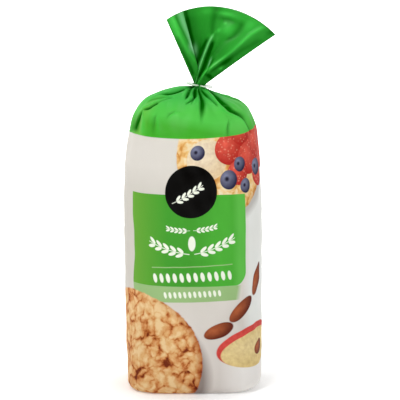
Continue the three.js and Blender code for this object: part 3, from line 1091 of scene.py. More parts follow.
class Graph:
    """A material's node tree while it is being written."""

    def __init__(self, name: str) -> None:
        """Starts a material with a lone Principled shader.

        Args:
            name: the material's name.
        """
        self.material = bpy.data.materials.new(name)
        self.material.use_nodes = True
        self.tree = self.material.node_tree
        self.shader = self.tree.nodes["Principled BSDF"]

    def node(
        self, kind: str, settings: dict[str, Any] | None = None, sockets: dict[Any, Any] | None = None
    ) -> bpy.types.Node:
        """Adds one node.

        Args:
            kind: the node's type.
            settings: its properties, set first; stops fills a colour ramp with (place, colour) pairs.
            sockets: values, colours, wires or sockets for its inputs, by name or number.

        Returns:
            The new node.
        """
        made = self.tree.nodes.new(kind)
        for name, value in (settings or {}).items():
            if name == "stops":
                self._set_stops(made.color_ramp.elements, value)
            else:
                setattr(made, name, value)
        for key, value in (sockets or {}).items():
            self.put(made.inputs[key], value)
        return made

    @staticmethod
    def _set_stops(elements: bpy.types.ColorRampElements, stops: Sequence[tuple[float, Colour]]) -> None:
        """Fills a colour ramp.

        Args:
            elements: the ramp's stops, of which there are fewer to start with.
            stops: places and colours.
        """
        while len(elements) < len(stops):
            elements.new(1.0)
        for element, (place, colour) in zip(elements, stops):
            element.position = place
            element.color = colour

    def put(self, socket: bpy.types.NodeSocket, value: Any) -> None:
        """Links or sets one input.

        Args:
            socket: the input.
            value: a value, a named colour, a wire or a socket.
        """
        if isinstance(value, Wire):
            value = value.socket
        if isinstance(value, Enum):
            value = value.value
        if isinstance(value, bpy.types.NodeSocket):
            self.tree.links.new(value, socket)
        else:
            socket.default_value = value

    def maths(self, operation: str, *values: Wire | float) -> Wire:
        """One Math node."""
        made = self.node("ShaderNodeMath", {"operation": operation}, dict(enumerate(values)))
        return Wire(self, made.outputs[0])

    def paint(self, below: Paint, above: Paint, mask: Wire | float) -> Socket:
        """One colour laid over another where a mask is 1."""
        return self.node("ShaderNodeMix", {"data_type": "RGBA"}, {0: mask, 6: below, 7: above}).outputs[2]

    def dim(self, colour: Paint, shade: Paint, mask: Wire | float) -> Socket:
        """A colour multiplied by a shade where a mask is 1."""
        settings = {"data_type": "RGBA", "blend_type": "MULTIPLY"}
        return self.node("ShaderNodeMix", settings, {0: mask, 6: colour, 7: shade}).outputs[2]

    def placed(
        self, point: Socket, centre: tuple[float, float], scale: tuple[float, float], turn: float = 0.0
    ) -> Socket:
        """Sees a place from a shape's own centre, in the shape's own size and turn.

        Args:
            point: the place.
            centre: the shape's centre.
            scale: the shape's size.
            turn: the shape's turn, in radians.

        Returns:
            The place in the shape's own measure.
        """
        sockets = {
            "Vector": point,
            "Location": (centre[0], centre[1], 0),
            "Rotation": (0, 0, turn),
            "Scale": (scale[0], scale[1], 1),
        }
        return self.node("ShaderNodeMapping", {"vector_type": "TEXTURE"}, sockets).outputs[0]

    def split(self, point: Socket) -> tuple[Wire, Wire]:
        """A place's two numbers."""
        made = self.node("ShaderNodeSeparateXYZ", sockets={0: point})
        return Wire(self, made.outputs[0]), Wire(self, made.outputs[1])

    def length(self, point: Socket) -> Wire:
        """A place's distance from its centre."""
        made = self.node("ShaderNodeVectorMath", {"operation": "LENGTH"}, {0: point})
        return Wire(self, made.outputs["Value"])

    def noise(self, point: Socket, scale: float, detail: float) -> Wire:
        """Soft noise of 0 to 1."""
        sockets = {"Vector": point, "Scale": scale, "Detail": detail}
        return Wire(self, self.node("ShaderNodeTexNoise", sockets=sockets).outputs[0])


def ink(red: int, green: int, blue: int) -> Colour:
    """Turns a screen colour into the shader's own.

    Args:
        red: the red channel, from 0 to 255.
        green: the green one.
        blue: the blue one.

    Returns:
        The shader's linear colour.
    """
    shares = (red / 255, green / 255, blue / 255)
    linear = [c / 12.92 if c <= 0.04045 else ((c + 0.055) / 1.055) ** 2.4 for c in shares]
    return (*linear, 1.0)


class Ink(Enum):
    """The print's colours, and the colours of painted shade, painted highlights and painted sheen."""

    GROUND = ink(218, 213, 206)
    # Painted shade low on the wall.
    SHADED_LOW_GROUND = ink(214, 207, 202)
    SIDE_GROUND = ink(229, 230, 227)
    LOWER_RIGHT_PALE = ink(238, 234, 231)
    GREEN = ink(67, 171, 46)
    # A band of painted highlight across the dome's middle.
    HIGHLIGHT_BAND_GREEN = ink(84, 198, 76)
    COOL_GREEN = ink(70, 192, 78)
    WARM_GREEN = ink(110, 192, 70)
    FAN_GREEN = ink(40, 149, 42)
    INSIDE = ink(150, 205, 150)
    # Painted shade in folds, on the green and on the pale ground.
    SHADE_IN_FOLDS = ink(34, 142, 26)
    GREY_SHADE_IN_FOLDS = ink(170, 166, 162)
    # Painted highlight and painted sheen colours.
    HIGHLIGHT_GREEN = ink(66, 194, 70)
    PAINTED_SHEEN = ink(130, 190, 145)
    BODY_SHEEN = ink(118, 226, 110)
    SHEEN = ink(150, 214, 140)
    DEEP_GREEN = ink(66, 154, 46)
    LEFT_GREEN = ink(108, 168, 56)
    RIGHT_GREEN = ink(75, 172, 54)
    EDGE_GREEN = ink(94, 187, 73)
    LIGHT_GREEN = ink(152, 187, 126)
    WHITE = ink(236, 241, 226)
    BLACK = ink(3, 2, 1)


@dataclass(frozen=True)
class Motif:
    """One simple printed shape: an ellipse with its colours, its pale flecks and its core."""

    centre: tuple[float, float]
    radii: tuple[float, float]
    middle: Colour
    edge: Colour
    turn: float = 0.0
    flecks: float = 0.0
    core: Colour | None = None


RED: dict[str, Any] = {"middle": ink(232, 96, 78), "edge": ink(184, 42, 34), "flecks": 0.28}
BLUE: dict[str, Any] = {"middle": ink(134, 140, 170), "edge": ink(46, 44, 72), "core": ink(34, 30, 48)}
BROWN: dict[str, Any] = {"middle": ink(184, 98, 58), "edge": ink(100, 38, 22)}
SKIN: dict[str, Any] = {"middle": ink(232, 90, 82), "edge": ink(194, 52, 48)}
YELLOW: dict[str, Any] = {"middle": ink(238, 218, 162), "edge": ink(226, 201, 136)}
CREAM: dict[str, Any] = {"middle": ink(240, 228, 204), "edge": ink(232, 208, 168)}


@dataclass(frozen=True)
class Disc:
    """A printed cake of puffed grain.

    centre, radii and turn place it on the flat film, drop is how low its shadow hangs, as a share of its
    height, and grains are its colours from the hollows to the tops, each with its height.
    """

    centre: tuple[float, float]
    radii: tuple[float, float]
    turn: float
    drop: float
    shade: Colour
    grains: tuple[tuple[float, Colour], ...]


@dataclass(frozen=True)
class Tint:
    """A soft change of the pale ground, lighter or darker over part of it.

    across and along are ramps on the flat film: where the tint starts and where it is full, in millimetres.
    A tint that is multiplied darkens what is there, and one that is all round doesn't fade out towards the
    back.
    """

    colour: Colour | Enum
    across: tuple[float, float] | None = None
    along: tuple[tuple[float, float], ...] = ()
    multiplied: bool = False
    all_round: bool = False


@dataclass(frozen=True)
class GrainRow:
    """A row of slanting grains: its lower and upper edge, its half width and the grains' pitch."""

    low: float
    high: float
    half: float
    pitch: float

    def mask(self, x: Wire, y: Wire) -> Wire:
        """Draws the row.

        Args:
            x: places along the row, from its middle.
            y: places up the film.

        Returns:
            The row's mask.
        """
        lean, fullness = 0.12, 0.3
        up = (y - (self.low + self.high) / 2) / ((self.high - self.low) / 2)
        cell = ((x + up * (lean * self.pitch)) / self.pitch).cell() - 0.5
        wide = cell / fullness
        inside = 1.0 - (wide * wide + up * up)
        return inside.mask(2.5) * (self.half - abs(x)).mask(4)


@dataclass(frozen=True)
class Ear:
    """An ear of grain: pairs of grains along a bent stem.

    start is the stem's foot, pitch is the way from one pair of grains to the next, count is the number of
    pairs, turn is the stem's angle and bend is how fast it curves upwards.
    """

    start: tuple[float, float]
    pitch: float
    count: int
    turn: float
    bend: float
    tilt: float = 0.5
    off_stem: float = 0.36
    grain: tuple[float, float] = (0.52, 0.22)

    def mask(self, g: Graph, point: Socket) -> Wire:
        """Draws the ear.

        Args:
            g: the graph to draw in.
            point: places on the flat film.

        Returns:
            The ear's mask.
        """
        x, y = g.split(g.placed(point, self.start, (self.pitch, self.pitch), self.turn))
        y = y - self.bend * x * x
        cell = x.cell() - 0.5
        side = abs(y) - self.off_stem
        u = (cell * math.cos(self.tilt) + side * math.sin(self.tilt)) / self.grain[0]
        v = (side * math.cos(self.tilt) - cell * math.sin(self.tilt)) / self.grain[1]
        grains = (1.0 - (u * u + v * v)).mask(0.9 * self.pitch) * (x.mask(20) * (self.count - x).mask(20))
        stem = (0.05 - abs(y)).mask(3 * self.pitch) * ((x + 0.8).mask(20) * (self.count - x).mask(20))
        return grains.most(stem)


@dataclass(frozen=True)
class Panel:
    """The green panel with its light band, and the ornaments where a title would be.

    tilts are how far the band's foot, the panel's foot and its top fall for each millimetre to the right.
    The left edge leans, and swells out round swell_at. band_fade is the line beyond which the band fades
    out, as a height, its slope and its place across the film there.
    """

    left: float = -50.0
    right: float = 41.1
    low: float = 79.9
    high: float = 146.6
    rounding: float = 9.5
    band_low: float = 68.6
    tilts: tuple[float, float, float] = (0.017, 0.04, 0.045)
    left_lean: float = 0.029
    lean_from: float = 124.0
    swell: float = 2.6
    swell_at: float = 109.0
    swell_reach: float = 27.0
    band_fade: tuple[float, float, float] = (78.0, 0.2, 37.5)
    middle: float = -0.9
    rule_height: float = 94.6
    rule_half: float = 30.0
    rows: tuple[GrainRow, ...] = (GrainRow(83.4, 90.2, 30.0, 5.0), GrainRow(71.8, 76.6, 21.6, 3.6))
    ears: tuple[Ear, ...] = (Ear((6.0, 104.5), 5.4, 5, 0.2, 0.03), Ear((3.5, 121.0), 3.0, 5, 0.0, 0.03))
    grain_at: tuple[float, float] = (0.0, 111.5)
    grain_radii: tuple[float, float] = (2.6, 5.4)

    def draw(self, g: Graph, colour: Paint, across: Wire, along: Wire) -> Paint:
        """Draws the panel over a colour.

        Args:
            g: the graph to draw in.
            colour: the print below.
            across: places round the flat film.
            along: places up it.

        Returns:
            The print with the panel.
        """
        bottom = self.band_low - across * self.tilts[0]
        foot = self.low - across * self.tilts[1]
        top = self.high - across * self.tilts[2]
        away = (along - self.swell_at) / self.swell_reach
        swell = (1.0 - away * away).most(0)
        left = self.left + (along - self.lean_from) * self.left_lean + swell * swell * self.swell
        inside = (across - left).mask(4) * (self.right - across).mask(4)
        band = inside * (along - bottom).mask(4) * (foot - along).mask(4)
        height, slope, start = self.band_fade
        fade = ((along - height) * slope + start - across).ramp(0, 4)
        colour = g.paint(colour, Ink.LIGHT_GREEN, band * fade)
        over = (across - self.right + self.rounding).most(0)
        under = (foot + self.rounding - along).most(0)
        corner = self.rounding - g.maths("SQRT", over * over + under * under)
        fill = g.paint(Ink.DEEP_GREEN, Ink.LEFT_GREEN, across.ramp(-18, -52))
        fill = g.paint(fill, Ink.RIGHT_GREEN, across.ramp(0, 20))
        fill = g.paint(fill, Ink.EDGE_GREEN, across.ramp(29, 35))
        colour = g.paint(colour, fill, inside * corner.mask(4) * (top - along).mask(4))
        return self.ornaments(g, colour, across - self.middle, along)

    def ornaments(self, g: Graph, colour: Paint, x: Wire, y: Wire) -> Paint:
        """Draws the white rows and ears of grain, the same on both sides of the panel's middle.

        Args:
            g: the graph to draw in.
            colour: the print below.
            x: places to the right of the panel's middle.
            y: places up the flat film.

        Returns:
            The print with the ornaments.
        """
        for row in self.rows:
            colour = g.paint(colour, Ink.WHITE, row.mask(x, y))
        rule = (0.35 - abs(y - self.rule_height)).mask(3) * (self.rule_half - abs(x)).mask(3)
        colour = g.paint(colour, Ink.LIGHT_GREEN, rule)
        mirrored = g.node("ShaderNodeCombineXYZ", sockets={0: abs(x), 1: y}).outputs[0]
        for ear in self.ears:
            colour = g.paint(colour, Ink.WHITE, ear.mask(g, mirrored))
        grain = g.length(g.placed(mirrored, self.grain_at, self.grain_radii))
        return g.paint(colour, Ink.WHITE, (1.0 - grain).mask(8))


@dataclass(frozen=True)
class BackPanels:
    """Plain panels on the back, one on each side of the seam: one with rows of grains, one with a ruled box.

    Each box is its near and far edge, as distances from the seam, and its lower and upper edge.
    """

    panel: tuple[float, float, float, float] = (9.0, 54.0, 44.0, 146.6)
    box: tuple[float, float, float, float] = (14.0, 49.0, 52.0, 138.0)
    ruled: tuple[float, float, float, float] = (17.0, 46.0, 55.0, 135.0)
    line_pitch: float = 6.0
    line_half: float = 0.16
    line_colour: Colour = ink(150, 156, 146)
    rows_middle: float = 31.5
    rows: tuple[GrainRow, ...] = tuple(GrainRow(low, low + 6.0, 13.2, 4.4) for low in range(64, 121, 14))

    def draw(self, g: Graph, colour: Paint, across: Wire, along: Wire) -> Paint:
        """Draws both panels over a colour.

        Args:
            g: the graph to draw in.
            colour: the print below.
            across: places round the flat film.
            along: places up it.

        Returns:
            The print with the panels.
        """
        seam = FILM_WIDTH / 2 - abs(across)

        def inside(edges: tuple[float, float, float, float]) -> Wire:
            """Draws one box.

            Args:
                edges: its near and far edge from the seam, and its lower and upper edge.

            Returns:
                The box's mask.
            """
            near, far, low, high = edges
            beside = (seam - near).mask(4) * (far - seam).mask(4)
            return beside * (along - low).mask(4) * (high - along).mask(4)

        colour = g.paint(colour, Ink.DEEP_GREEN, inside(self.panel))
        boxed = (0 - across).mask(1)
        colour = g.paint(colour, Ink.WHITE, inside(self.box) * boxed)
        lines = (self.line_half - abs((along / self.line_pitch).cell() - 0.5)).mask(20)
        colour = g.paint(colour, self.line_colour, lines * inside(self.ruled) * boxed)
        for row in self.rows:
            grains = row.mask(seam - self.rows_middle, along) * (1.0 - boxed)
            colour = g.paint(colour, Ink.LIGHT_GREEN, grains)
        return colour


@dataclass(frozen=True)
class PrintedFilm:
    """The printed film: fields of colour and simple shapes, drawn on the flat film, with painted shade,
    painted highlights and painted sheen laid over them.

    top_waves are the sines and cosines of the green top band's edge round the bag, each with how many times
    it goes up and down. The band of painted highlight across the dome and the cool green are pairs of
    heights above that edge, and the highlight band lies lower towards the right, by its slope and within its
    shifts.
    """

    name: str = "printed_film_and_painted_shading"
    roughness: float = 0.42
    gloss: float = 0.15
    gloss_roughness: float = 0.3
    highlight_strength: float = 0.8
    sheen: float = 0.7
    top_edge: float = 189.2
    top_waves: tuple[tuple[int, float, float], ...] = ((1, 1.17, -1.3), (2, -2.04, -0.69), (3, 0.56, -0.32))
    highlight_band: tuple[float, float] = (6.0, 14.0)
    highlight_band_slope: float = 0.2
    highlight_band_shifts: tuple[float, float] = (-3.0, 3.5)
    cool_green: tuple[float, float] = (20.0, 36.0)
    warm_at: float = -52.0
    warm_half: float = 14.0
    warm_height: float = 45.0
    fade_behind: tuple[float, float] = (150.0, 90.0)
    tints: tuple[Tint, ...] = (
        # Painted shade: the ground darker towards the bottom, all round.
        Tint(Ink.SHADED_LOW_GROUND, along=((78.0, 38.0),), all_round=True),
        Tint(Ink.SIDE_GROUND, (38.0, 46.0)),
        # Paler towards the lower right.
        Tint(Ink.LOWER_RIGHT_PALE, (18.0, 34.0), ((36.0, 26.0),)),
        # Painted shade: the ground darker on the left, from about 52 to 168 mm up the film.
        Tint(ink(243, 243, 242), (20.0, 10.0), ((168.0, 152.0), (52.0, 82.0)), multiplied=True),
    )
    badge: tuple[float, float] = (-0.9, 148.9)
    badge_radius: float = 18.9
    sprig: Ear = Ear((-11.4, 142.4), 4.4, 5, 0.42, 0.02)
    panel: Panel = Panel()
    back: BackPanels = BackPanels()
    cake: Disc = Disc(
        (-52.2, 24.45), (58.4, 52.2), -0.075, 0.22, ink(174, 166, 164),
        (
            (0.1, ink(112, 42, 14)),
            (0.22, ink(174, 94, 44)),
            (0.35, ink(206, 138, 82)),
            (0.5, ink(220, 170, 112)),
            (0.75, ink(233, 200, 150)),
        ),
    )
    far_cake: Disc = Disc(
        (27.3, 177.0), (38.9, 45.3), 0.0, 0.08, ink(214, 210, 208),
        (
            (0.1, ink(206, 140, 70)), (0.35, ink(232, 186, 116)), (0.6, ink(238, 212, 164)),
            (0.85, ink(238, 226, 200)),
        ),
    )
    motifs: tuple[Motif, ...] = (
        Motif((11.0, 171.0), (15.0, 15.0), **CREAM),
        Motif((52.0, 176.0), (21.0, 15.0), **RED),
        Motif((29.0, 178.0), (12.0, 11.5), **RED),
        Motif((54.0, 188.0), (7.0, 7.0), **RED),
        Motif((70.0, 186.0), (9.0, 8.0), **RED),
        Motif((73.0, 169.0), (8.0, 10.0), **RED),
        Motif((61.0, 158.0), (10.0, 10.5), **RED),
        Motif((41.0, 189.0), (10.0, 9.0), **RED),
        Motif((48.0, 170.0), (12.0, 12.0), **RED),
        Motif((36.0, 160.5), (9.5, 9.0), **RED),
        Motif((61.0, 180.0), (11.0, 11.0), **RED),
        Motif((4.0, 176.5), (5.4, 5.4), **BLUE),
        Motif((27.5, 156.0), (7.0, 7.0), **BLUE),
        Motif((42.5, 150.5), (5.4, 5.4), **BLUE),
        Motif((37.5, 166.5), (5.4, 5.4), **BLUE),
        Motif((57.5, 162.0), (5.8, 6.2), **BLUE),
        Motif((55.5, 80.0), (12.5, 5.4), turn=1.15, **BROWN),
        Motif((37.5, 60.5), (13.0, 5.4), turn=0.62, **BROWN),
        Motif((18.5, 46.5), (11.5, 5.2), turn=0.3, **BROWN),
        Motif((50.0, 33.0), (34.0, 14.5), turn=0.1, **SKIN),
        Motif((51.0, 30.5), (32.0, 12.6), turn=0.1, **YELLOW),
        Motif((55.0, 30.0), (8.5, 4.6), turn=0.3, **BROWN),
    )

    def build(self) -> bpy.types.Material:
        """Makes the material.

        Returns:
            The new material.
        """
        g = Graph(self.name)
        point = g.node("ShaderNodeAttribute", {"attribute_name": FILM}).outputs["Vector"]
        across, along = g.split(point)
        above = along - self.top_edge
        for times, sine, cosine in self.top_waves:
            turn = across * (times * TURN / FILM_WIDTH)
            above = above - g.maths("SINE", turn) * sine - g.maths("COSINE", turn) * cosine
        in_green = above.mask(3)
        # The print, then painted shade in the folds, painted highlights and painted sheen on the ridges, and
        # spots of painted sheen.
        colour = g.paint(self.front(g, point, across, along), self.greens(g, across, along, above), in_green)
        colour = g.dim(colour, ink(244, 244, 240), g.noise(point, 0.02, 2))
        tone = Wire(g, g.node("ShaderNodeAttribute", {"attribute_name": PAINTED_SHADING}).outputs["Fac"])
        # Painted shade darkens the folds; a painted highlight and then painted sheen lighten the ridges.
        colour = g.dim(colour, g.paint(Ink.GREY_SHADE_IN_FOLDS, Ink.SHADE_IN_FOLDS, in_green), tone.ramp(0, -1))
        colour = g.paint(colour, Ink.HIGHLIGHT_GREEN, tone.ramp(0, 0.5) * in_green * self.highlight_strength)
        colour = g.paint(colour, Ink.SHEEN, tone.ramp(0.5, 1) * in_green * self.sheen)
        painted_sheen = Wire(g, g.node("ShaderNodeAttribute", {"attribute_name": PAINTED_SHEEN}).outputs["Fac"])
        # Painted sheen: a pale one on the shoulder and a grey-green one on the fan.
        sheen_colour = g.paint(Ink.BODY_SHEEN, Ink.PAINTED_SHEEN, (along - FAN_FILM_START).mask(3))
        g.put(g.shader.inputs["Base Color"], g.paint(colour, sheen_colour, painted_sheen * in_green))
        g.put(g.shader.inputs["Roughness"], self.roughness + 0.08 * g.noise(point, 0.12, 3))
        g.put(g.shader.inputs["Specular IOR Level"], 0.0)
        g.put(g.shader.inputs["Coat Weight"], tone.ramp(-1, 0) * self.gloss)
        g.put(g.shader.inputs["Coat Roughness"], self.gloss_roughness)
        bump = {"Strength": 0.12, "Distance": 0.0002, "Height": g.noise(point, 0.9, 2)}
        g.put(g.shader.inputs["Normal"], g.node("ShaderNodeBump", sockets=bump).outputs[0])
        return g.material

    def greens(self, g: Graph, across: Wire, along: Wire, above: Wire) -> Paint:
        """The greens of the top band, with a band of painted highlight across the dome, and of the fan, and
        the paler film inside the fan.

        Args:
            g: the graph to draw in.
            across: places round the flat film.
            along: places up it.
            above: heights above the band's edge.

        Returns:
            The band's colour.
        """
        # A band of painted highlight across the dome's middle, lower towards the right.
        shift = (across * self.highlight_band_slope).most(self.highlight_band_shifts[0]).least(self.highlight_band_shifts[1])
        green = g.paint(Ink.GREEN, Ink.HIGHLIGHT_BAND_GREEN, (above + shift).ramp(*self.highlight_band))
        green = g.paint(green, Ink.COOL_GREEN, above.ramp(*self.cool_green))
        warm = abs(across - self.warm_at).ramp(self.warm_half, 0) * above.ramp(self.warm_height, 0)
        green = g.paint(green, Ink.WARM_GREEN, warm)
        green = g.paint(green, Ink.FAN_GREEN, (along - FAN_FILM_START).mask(3))
        return g.paint(green, Ink.INSIDE, (along - FAN_FILM_START - FAN_REACH - FAN_FOOT - 0.1).mask(3))

    def front(self, g: Graph, point: Socket, across: Wire, along: Wire) -> Paint:
        """The print below the top band, all round.

        Args:
            g: the graph to draw in.
            point: places on the flat film.
            across: places round it.
            along: places up it.

        Returns:
            The print's colour.
        """
        colour: Paint = Ink.GROUND
        for tint in self.tints:
            share = 1.0 if tint.all_round else abs(across).ramp(*self.fade_behind)
            if tint.across:
                share = share * across.ramp(*tint.across)
            for ramp in tint.along:
                share = share * along.ramp(*ramp)
            colour = (g.dim if tint.multiplied else g.paint)(colour, tint.colour, share)
        colour = self.puffed(g, self.shadow(g, colour, point, self.far_cake), point, self.far_cake)
        for motif in self.motifs:
            colour = self.round_shape(g, colour, point, motif)
        colour = self.panel.draw(g, colour, across, along)
        colour = self.back.draw(g, colour, across, along)
        colour = self.puffed(g, self.shadow(g, colour, point, self.cake), point, self.cake)
        badge = g.length(g.placed(point, self.badge, (self.badge_radius, self.badge_radius)))
        colour = g.paint(colour, Ink.BLACK, (1.0 - badge).mask(70))
        return g.paint(colour, Ink.WHITE, self.sprig.mask(g, point))

    @staticmethod
    def shadow(g: Graph, colour: Paint, point: Socket, disc: Disc) -> Paint:
        """A soft grey shadow below a printed cake, to its right.

        Args:
            g: the graph to draw in.
            colour: the print below.
            point: places on the flat film.
            disc: the cake.

        Returns:
            The print with the shadow.
        """
        spread, to_right = 1.09, 3
        moved = (disc.centre[0] + to_right, disc.centre[1] - disc.drop * disc.radii[1])
        radii = (disc.radii[0] * spread, disc.radii[1] * spread)
        return g.dim(colour, disc.shade, g.length(g.placed(point, moved, radii, disc.turn)).ramp(1, 0.875))

    @staticmethod
    def round_shape(g: Graph, colour: Paint, point: Socket, motif: Motif) -> Paint:
        """One ellipse, lighter towards its upper left.

        Args:
            g: the graph to draw in.
            colour: the print below.
            point: places on the flat film.
            motif: the shape.

        Returns:
            The print with the shape.
        """
        local = g.placed(point, motif.centre, motif.radii, motif.turn)
        lit = g.length(g.placed(local, (-0.3, 0.35), (1.25, 1.25)))
        fill = g.paint(motif.middle, motif.edge, lit.least(1))
        fill = g.dim(fill, ink(226, 214, 212), g.noise(point, 0.3, 3).ramp(0.35, 0.85))
        if motif.flecks:
            specks = g.node("ShaderNodeTexVoronoi", {"feature": "F1"}, {"Vector": point, "Scale": 0.42})
            near = (0.24 - Wire(g, specks.outputs[0])).mask(6)
            fill = g.paint(fill, ink(250, 206, 172), near * motif.flecks)
        if motif.core:
            core = g.length(g.placed(local, (-0.25, 0.1), (0.36, 0.36)))
            fill = g.paint(fill, motif.core, core.ramp(1, 0.375))
        return g.paint(colour, fill, (1.0 - g.length(local)).mask(min(motif.radii) * 2.5))

    @staticmethod
    def puffed(g: Graph, colour: Paint, point: Socket, disc: Disc) -> Paint:
        """A disc of puffed grain: pale tops with toasted hollows between them.

        Args:
            g: the graph to draw in.
            colour: the print below.
            point: places on the flat film.
            disc: the cake.

        Returns:
            The print with the cake.
        """
        # Two layers of noise bend the grains' cells out of shape.
        bent = point
        for scale, reach in ((0.09, 12.0), (0.4, 2.6)):
            wander = g.node("ShaderNodeTexNoise", sockets={"Vector": point, "Scale": scale, "Detail": 3.0})
            sockets = {0: wander.outputs[1], 1: (reach, reach, 0), 2: bent}
            bent = g.node("ShaderNodeVectorMath", {"operation": "MULTIPLY_ADD"}, sockets).outputs[0]
        cells = {}
        for feature, scale in (("DISTANCE_TO_EDGE", 0.115), ("F1", 0.28)):
            made = g.node("ShaderNodeTexVoronoi", {"feature": feature}, {"Vector": bent, "Scale": scale})
            cells[feature] = Wire(g, made.outputs[0])
        local = g.placed(point, disc.centre, disc.radii, disc.turn)
        right, upper = g.split(local)
        # Here and there the gaps between the grains are filled, and some patches are more toasted.
        filled = g.noise(point, 0.1, 2).ramp(0.42, 0.62)
        toasted = g.noise(point, 0.06, 3)
        height = (cells["DISTANCE_TO_EDGE"] * 3.2 + filled * 0.6).least(1) * 0.42
        height = height + (1.0 - cells["F1"]) * 0.42 + 1.25 * (toasted - 0.5) + 0.08 * upper
        fill = g.node("ShaderNodeValToRGB", {"stops": disc.grains}, {0: height}).outputs[0]
        # The rim is ragged, and darker on the right.
        ragged = g.length(local) + 0.03 * (g.noise(point, 0.35, 2) - 0.5)
        fill = g.dim(fill, ink(206, 150, 110), ragged.ramp(0.9, 1.011) * right.ramp(0.1875, 0.8125))
        return g.paint(colour, fill, (1.0 - ragged).mask(60))


@dataclass(frozen=True)
class ClipPlastic:
    """Pale, slightly see-through moulded plastic."""

    name: str = "clip_plastic"
    colour: Colour = ink(250, 252, 248)
    roughness: float = 0.35

    def build(self) -> bpy.types.Material:
        """Makes the material.

        Returns:
            The new material.
        """
        g = Graph(self.name)
        point = g.node("ShaderNodeTexCoord").outputs["Object"]
        cloud = g.noise(point, 260.0, 3)
        # Painted green near the neck, standing in for the green film's light seen through the clip.
        near_neck = g.split(point)[0].ramp(9.5 * MM, 7.5 * MM)
        colour = g.paint(self.colour, ink(236, 244, 232), cloud)
        g.put(g.shader.inputs["Base Color"], g.dim(colour, ink(238, 255, 238), near_neck))
        g.put(g.shader.inputs["Roughness"], self.roughness + 0.1 * cloud)
        g.put(g.shader.inputs["Transmission Weight"], 0.05)
        bump = g.node("ShaderNodeBump", sockets={"Strength": 0.2, "Distance": 0.0001, "Height": cloud})
        g.put(g.shader.inputs["Normal"], bump.outputs[0])
        return g.material


@dataclass(frozen=True)
class Paper:
    """The pale studio floor, which is lit from below further out."""

    name: str = "studio_paper"
    colour: Colour = ink(252, 252, 252)
    glow: float = 1.0
    near_glow: float = 0.18
    glow_from: float = 0.055
    glow_full: float = 2.5

    def build(self) -> bpy.types.Material:
        """Makes the material.

        Returns:
            The new material.
        """
        g = Graph(self.name)
        point = g.node("ShaderNodeTexCoord").outputs["Object"]
        cloud = g.noise(point, 3.0, 2)
        g.put(g.shader.inputs["Base Color"], g.paint(self.colour, ink(248, 248, 248), cloud))
        g.put(g.shader.inputs["Roughness"], 0.9)
        far = g.maths("SQRT", g.length(point).ramp(self.glow_from, self.glow_full))
        near = self.near_glow
        g.put(g.shader.inputs["Emission Color"], g.paint((near, near, near, 1), (1, 1, 1, 1), far))
        g.put(g.shader.inputs["Emission Strength"], self.glow)
        return g.material


# ---------------------------------------------------------------- studio


@dataclass(frozen=True)
class SoftBox:
    """One soft studio light."""

    name: str
    place: tuple[float, float, float]
    size: tuple[float, float]
    power: float


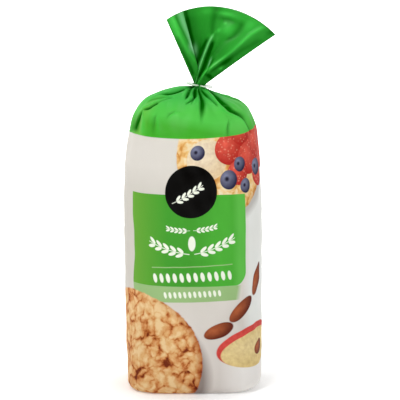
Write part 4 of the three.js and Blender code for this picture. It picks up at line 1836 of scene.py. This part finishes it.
@dataclass(frozen=True)
class Studio:
    """The floor, the lights and the camera."""

    target: tuple[float, float, float] = (5.15, 0.0, 135.8)
    distance: float = 1800.0
    elevation: float = math.radians(8.5)
    lens: float = 220.4
    sensor: float = 36.0
    floor_half: float = 9000.0
    world_strength: float = 0.17
    wall_height: float = 3000.0
    wall_at: float = 2600.0
    lights: tuple[SoftBox, ...] = (
        SoftBox("key", (-450.0, -800.0, 950.0), (500.0, 500.0), 6.9),
        SoftBox("fill", (900.0, -900.0, 500.0), (500.0, 700.0), 2.1),
        SoftBox("top", (0.0, 100.0, 1200.0), (600.0, 600.0), 3.8),
    )

    def build(self) -> None:
        """Sets up the whole studio."""
        self.floor()
        self.world()
        for light in self.lights:
            self.soft_box(light)
        self.camera()

    def floor(self) -> None:
        """The floor that the bag stands on, with a wall far behind it."""
        half, back, top = self.floor_half * MM, self.wall_at * MM, self.wall_height * MM
        mesh = bpy.data.meshes.new("floor")
        edges = [(-half, 0), (back, 0), (back, top)]
        points = [(x, y, z) for y, z in edges for x in (-half, half)]
        mesh.from_pydata(points, [], [(0, 1, 3, 2), (2, 3, 5, 4)])
        made = bpy.data.objects.new("floor", mesh)
        mesh.materials.append(Paper().build())
        bpy.context.scene.collection.objects.link(made)

    def world(self) -> None:
        """Even white light from all round."""
        world = bpy.data.worlds.new("studio")
        world.use_nodes = True
        background = world.node_tree.nodes["Background"]
        background.inputs["Color"].default_value = (1, 1, 1, 1)
        background.inputs["Strength"].default_value = self.world_strength
        bpy.context.scene.world = world
        bpy.context.scene.view_settings.view_transform = "Standard"

    def aimed(self, made: bpy.types.Object, place: Vector) -> None:
        """Puts an object at a place, looking at the target.

        Args:
            made: the object.
            place: where it stands, in millimetres.
        """
        made.location = place * MM
        made.rotation_euler = (Vector(self.target) - place).to_track_quat("-Z", "Y").to_euler()
        bpy.context.scene.collection.objects.link(made)

    def soft_box(self, light: SoftBox) -> None:
        """Sets up one area light.

        Args:
            light: its name, place, size and power.
        """
        data = bpy.data.lights.new(light.name, "AREA")
        data.shape = "RECTANGLE"
        data.size, data.size_y = light.size[0] * MM, light.size[1] * MM
        data.energy = light.power
        self.aimed(bpy.data.objects.new(light.name, data), Vector(light.place))

    def camera(self) -> None:
        """The camera, level with the shoulder and looking slightly down."""
        data = bpy.data.cameras.new("camera")
        data.lens = self.lens
        data.sensor_width = self.sensor
        data.clip_end = 50.0
        made = bpy.data.objects.new("camera", data)
        back = Vector((0, -math.cos(self.elevation), math.sin(self.elevation)))
        self.aimed(made, Vector(self.target) + back * self.distance)
        bpy.context.scene.camera = made


# ---------------------------------------------------------------- assembly


def read_form() -> tuple[BagForm, Clip]:
    """Sizes the bag's form and the clip from the frame's own boxes.

    Returns:
        The bag's form, and the clip.
    """
    low, high = (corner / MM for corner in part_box("bag"))
    clip_low, clip_high = (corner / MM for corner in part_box("clip"))
    middle = (clip_low + clip_high) / 2
    form = BagForm(-low.x, high.y, middle.x, middle.z)
    width = (clip_high.x - clip_low.x - math.sin(form.neck_lean)) / math.cos(form.neck_lean)
    return form, Clip(form, width, -clip_low.y, clip_high.y)


def install(piece: bpy.types.Object, material: bpy.types.Material, node: str) -> None:
    """Finishes a piece and puts it in the place of its CAD node.

    Args:
        piece: the finished mesh object.
        material: its finish.
        node: the CAD node that it stands for.
    """
    piece.data.materials.clear()
    piece.data.materials.append(material)
    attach(piece, "root")
    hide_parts(node)
    low, high = np.array(piece.bound_box).min(0) / MM, np.array(piece.bound_box).max(0) / MM
    log.info("%s: %d faces, %s to %s mm", piece.name, len(piece.data.polygons), low.round(1), high.round(1))


def main() -> None:
    """Builds the studio and every piece."""
    logging.basicConfig(level=logging.INFO, format="%(name)s: %(message)s")
    Studio().build()
    form, clip = read_form()
    pleats = Pleats()
    film = PrintedFilm().build()
    install(FilmBody(form, pleats).build(), film, "bag")
    install(FilmFan(form).build(), film, "bag")
    install(clip.build(), ClipPlastic().build(), "clip")


if __name__ == "__main__":
    main()
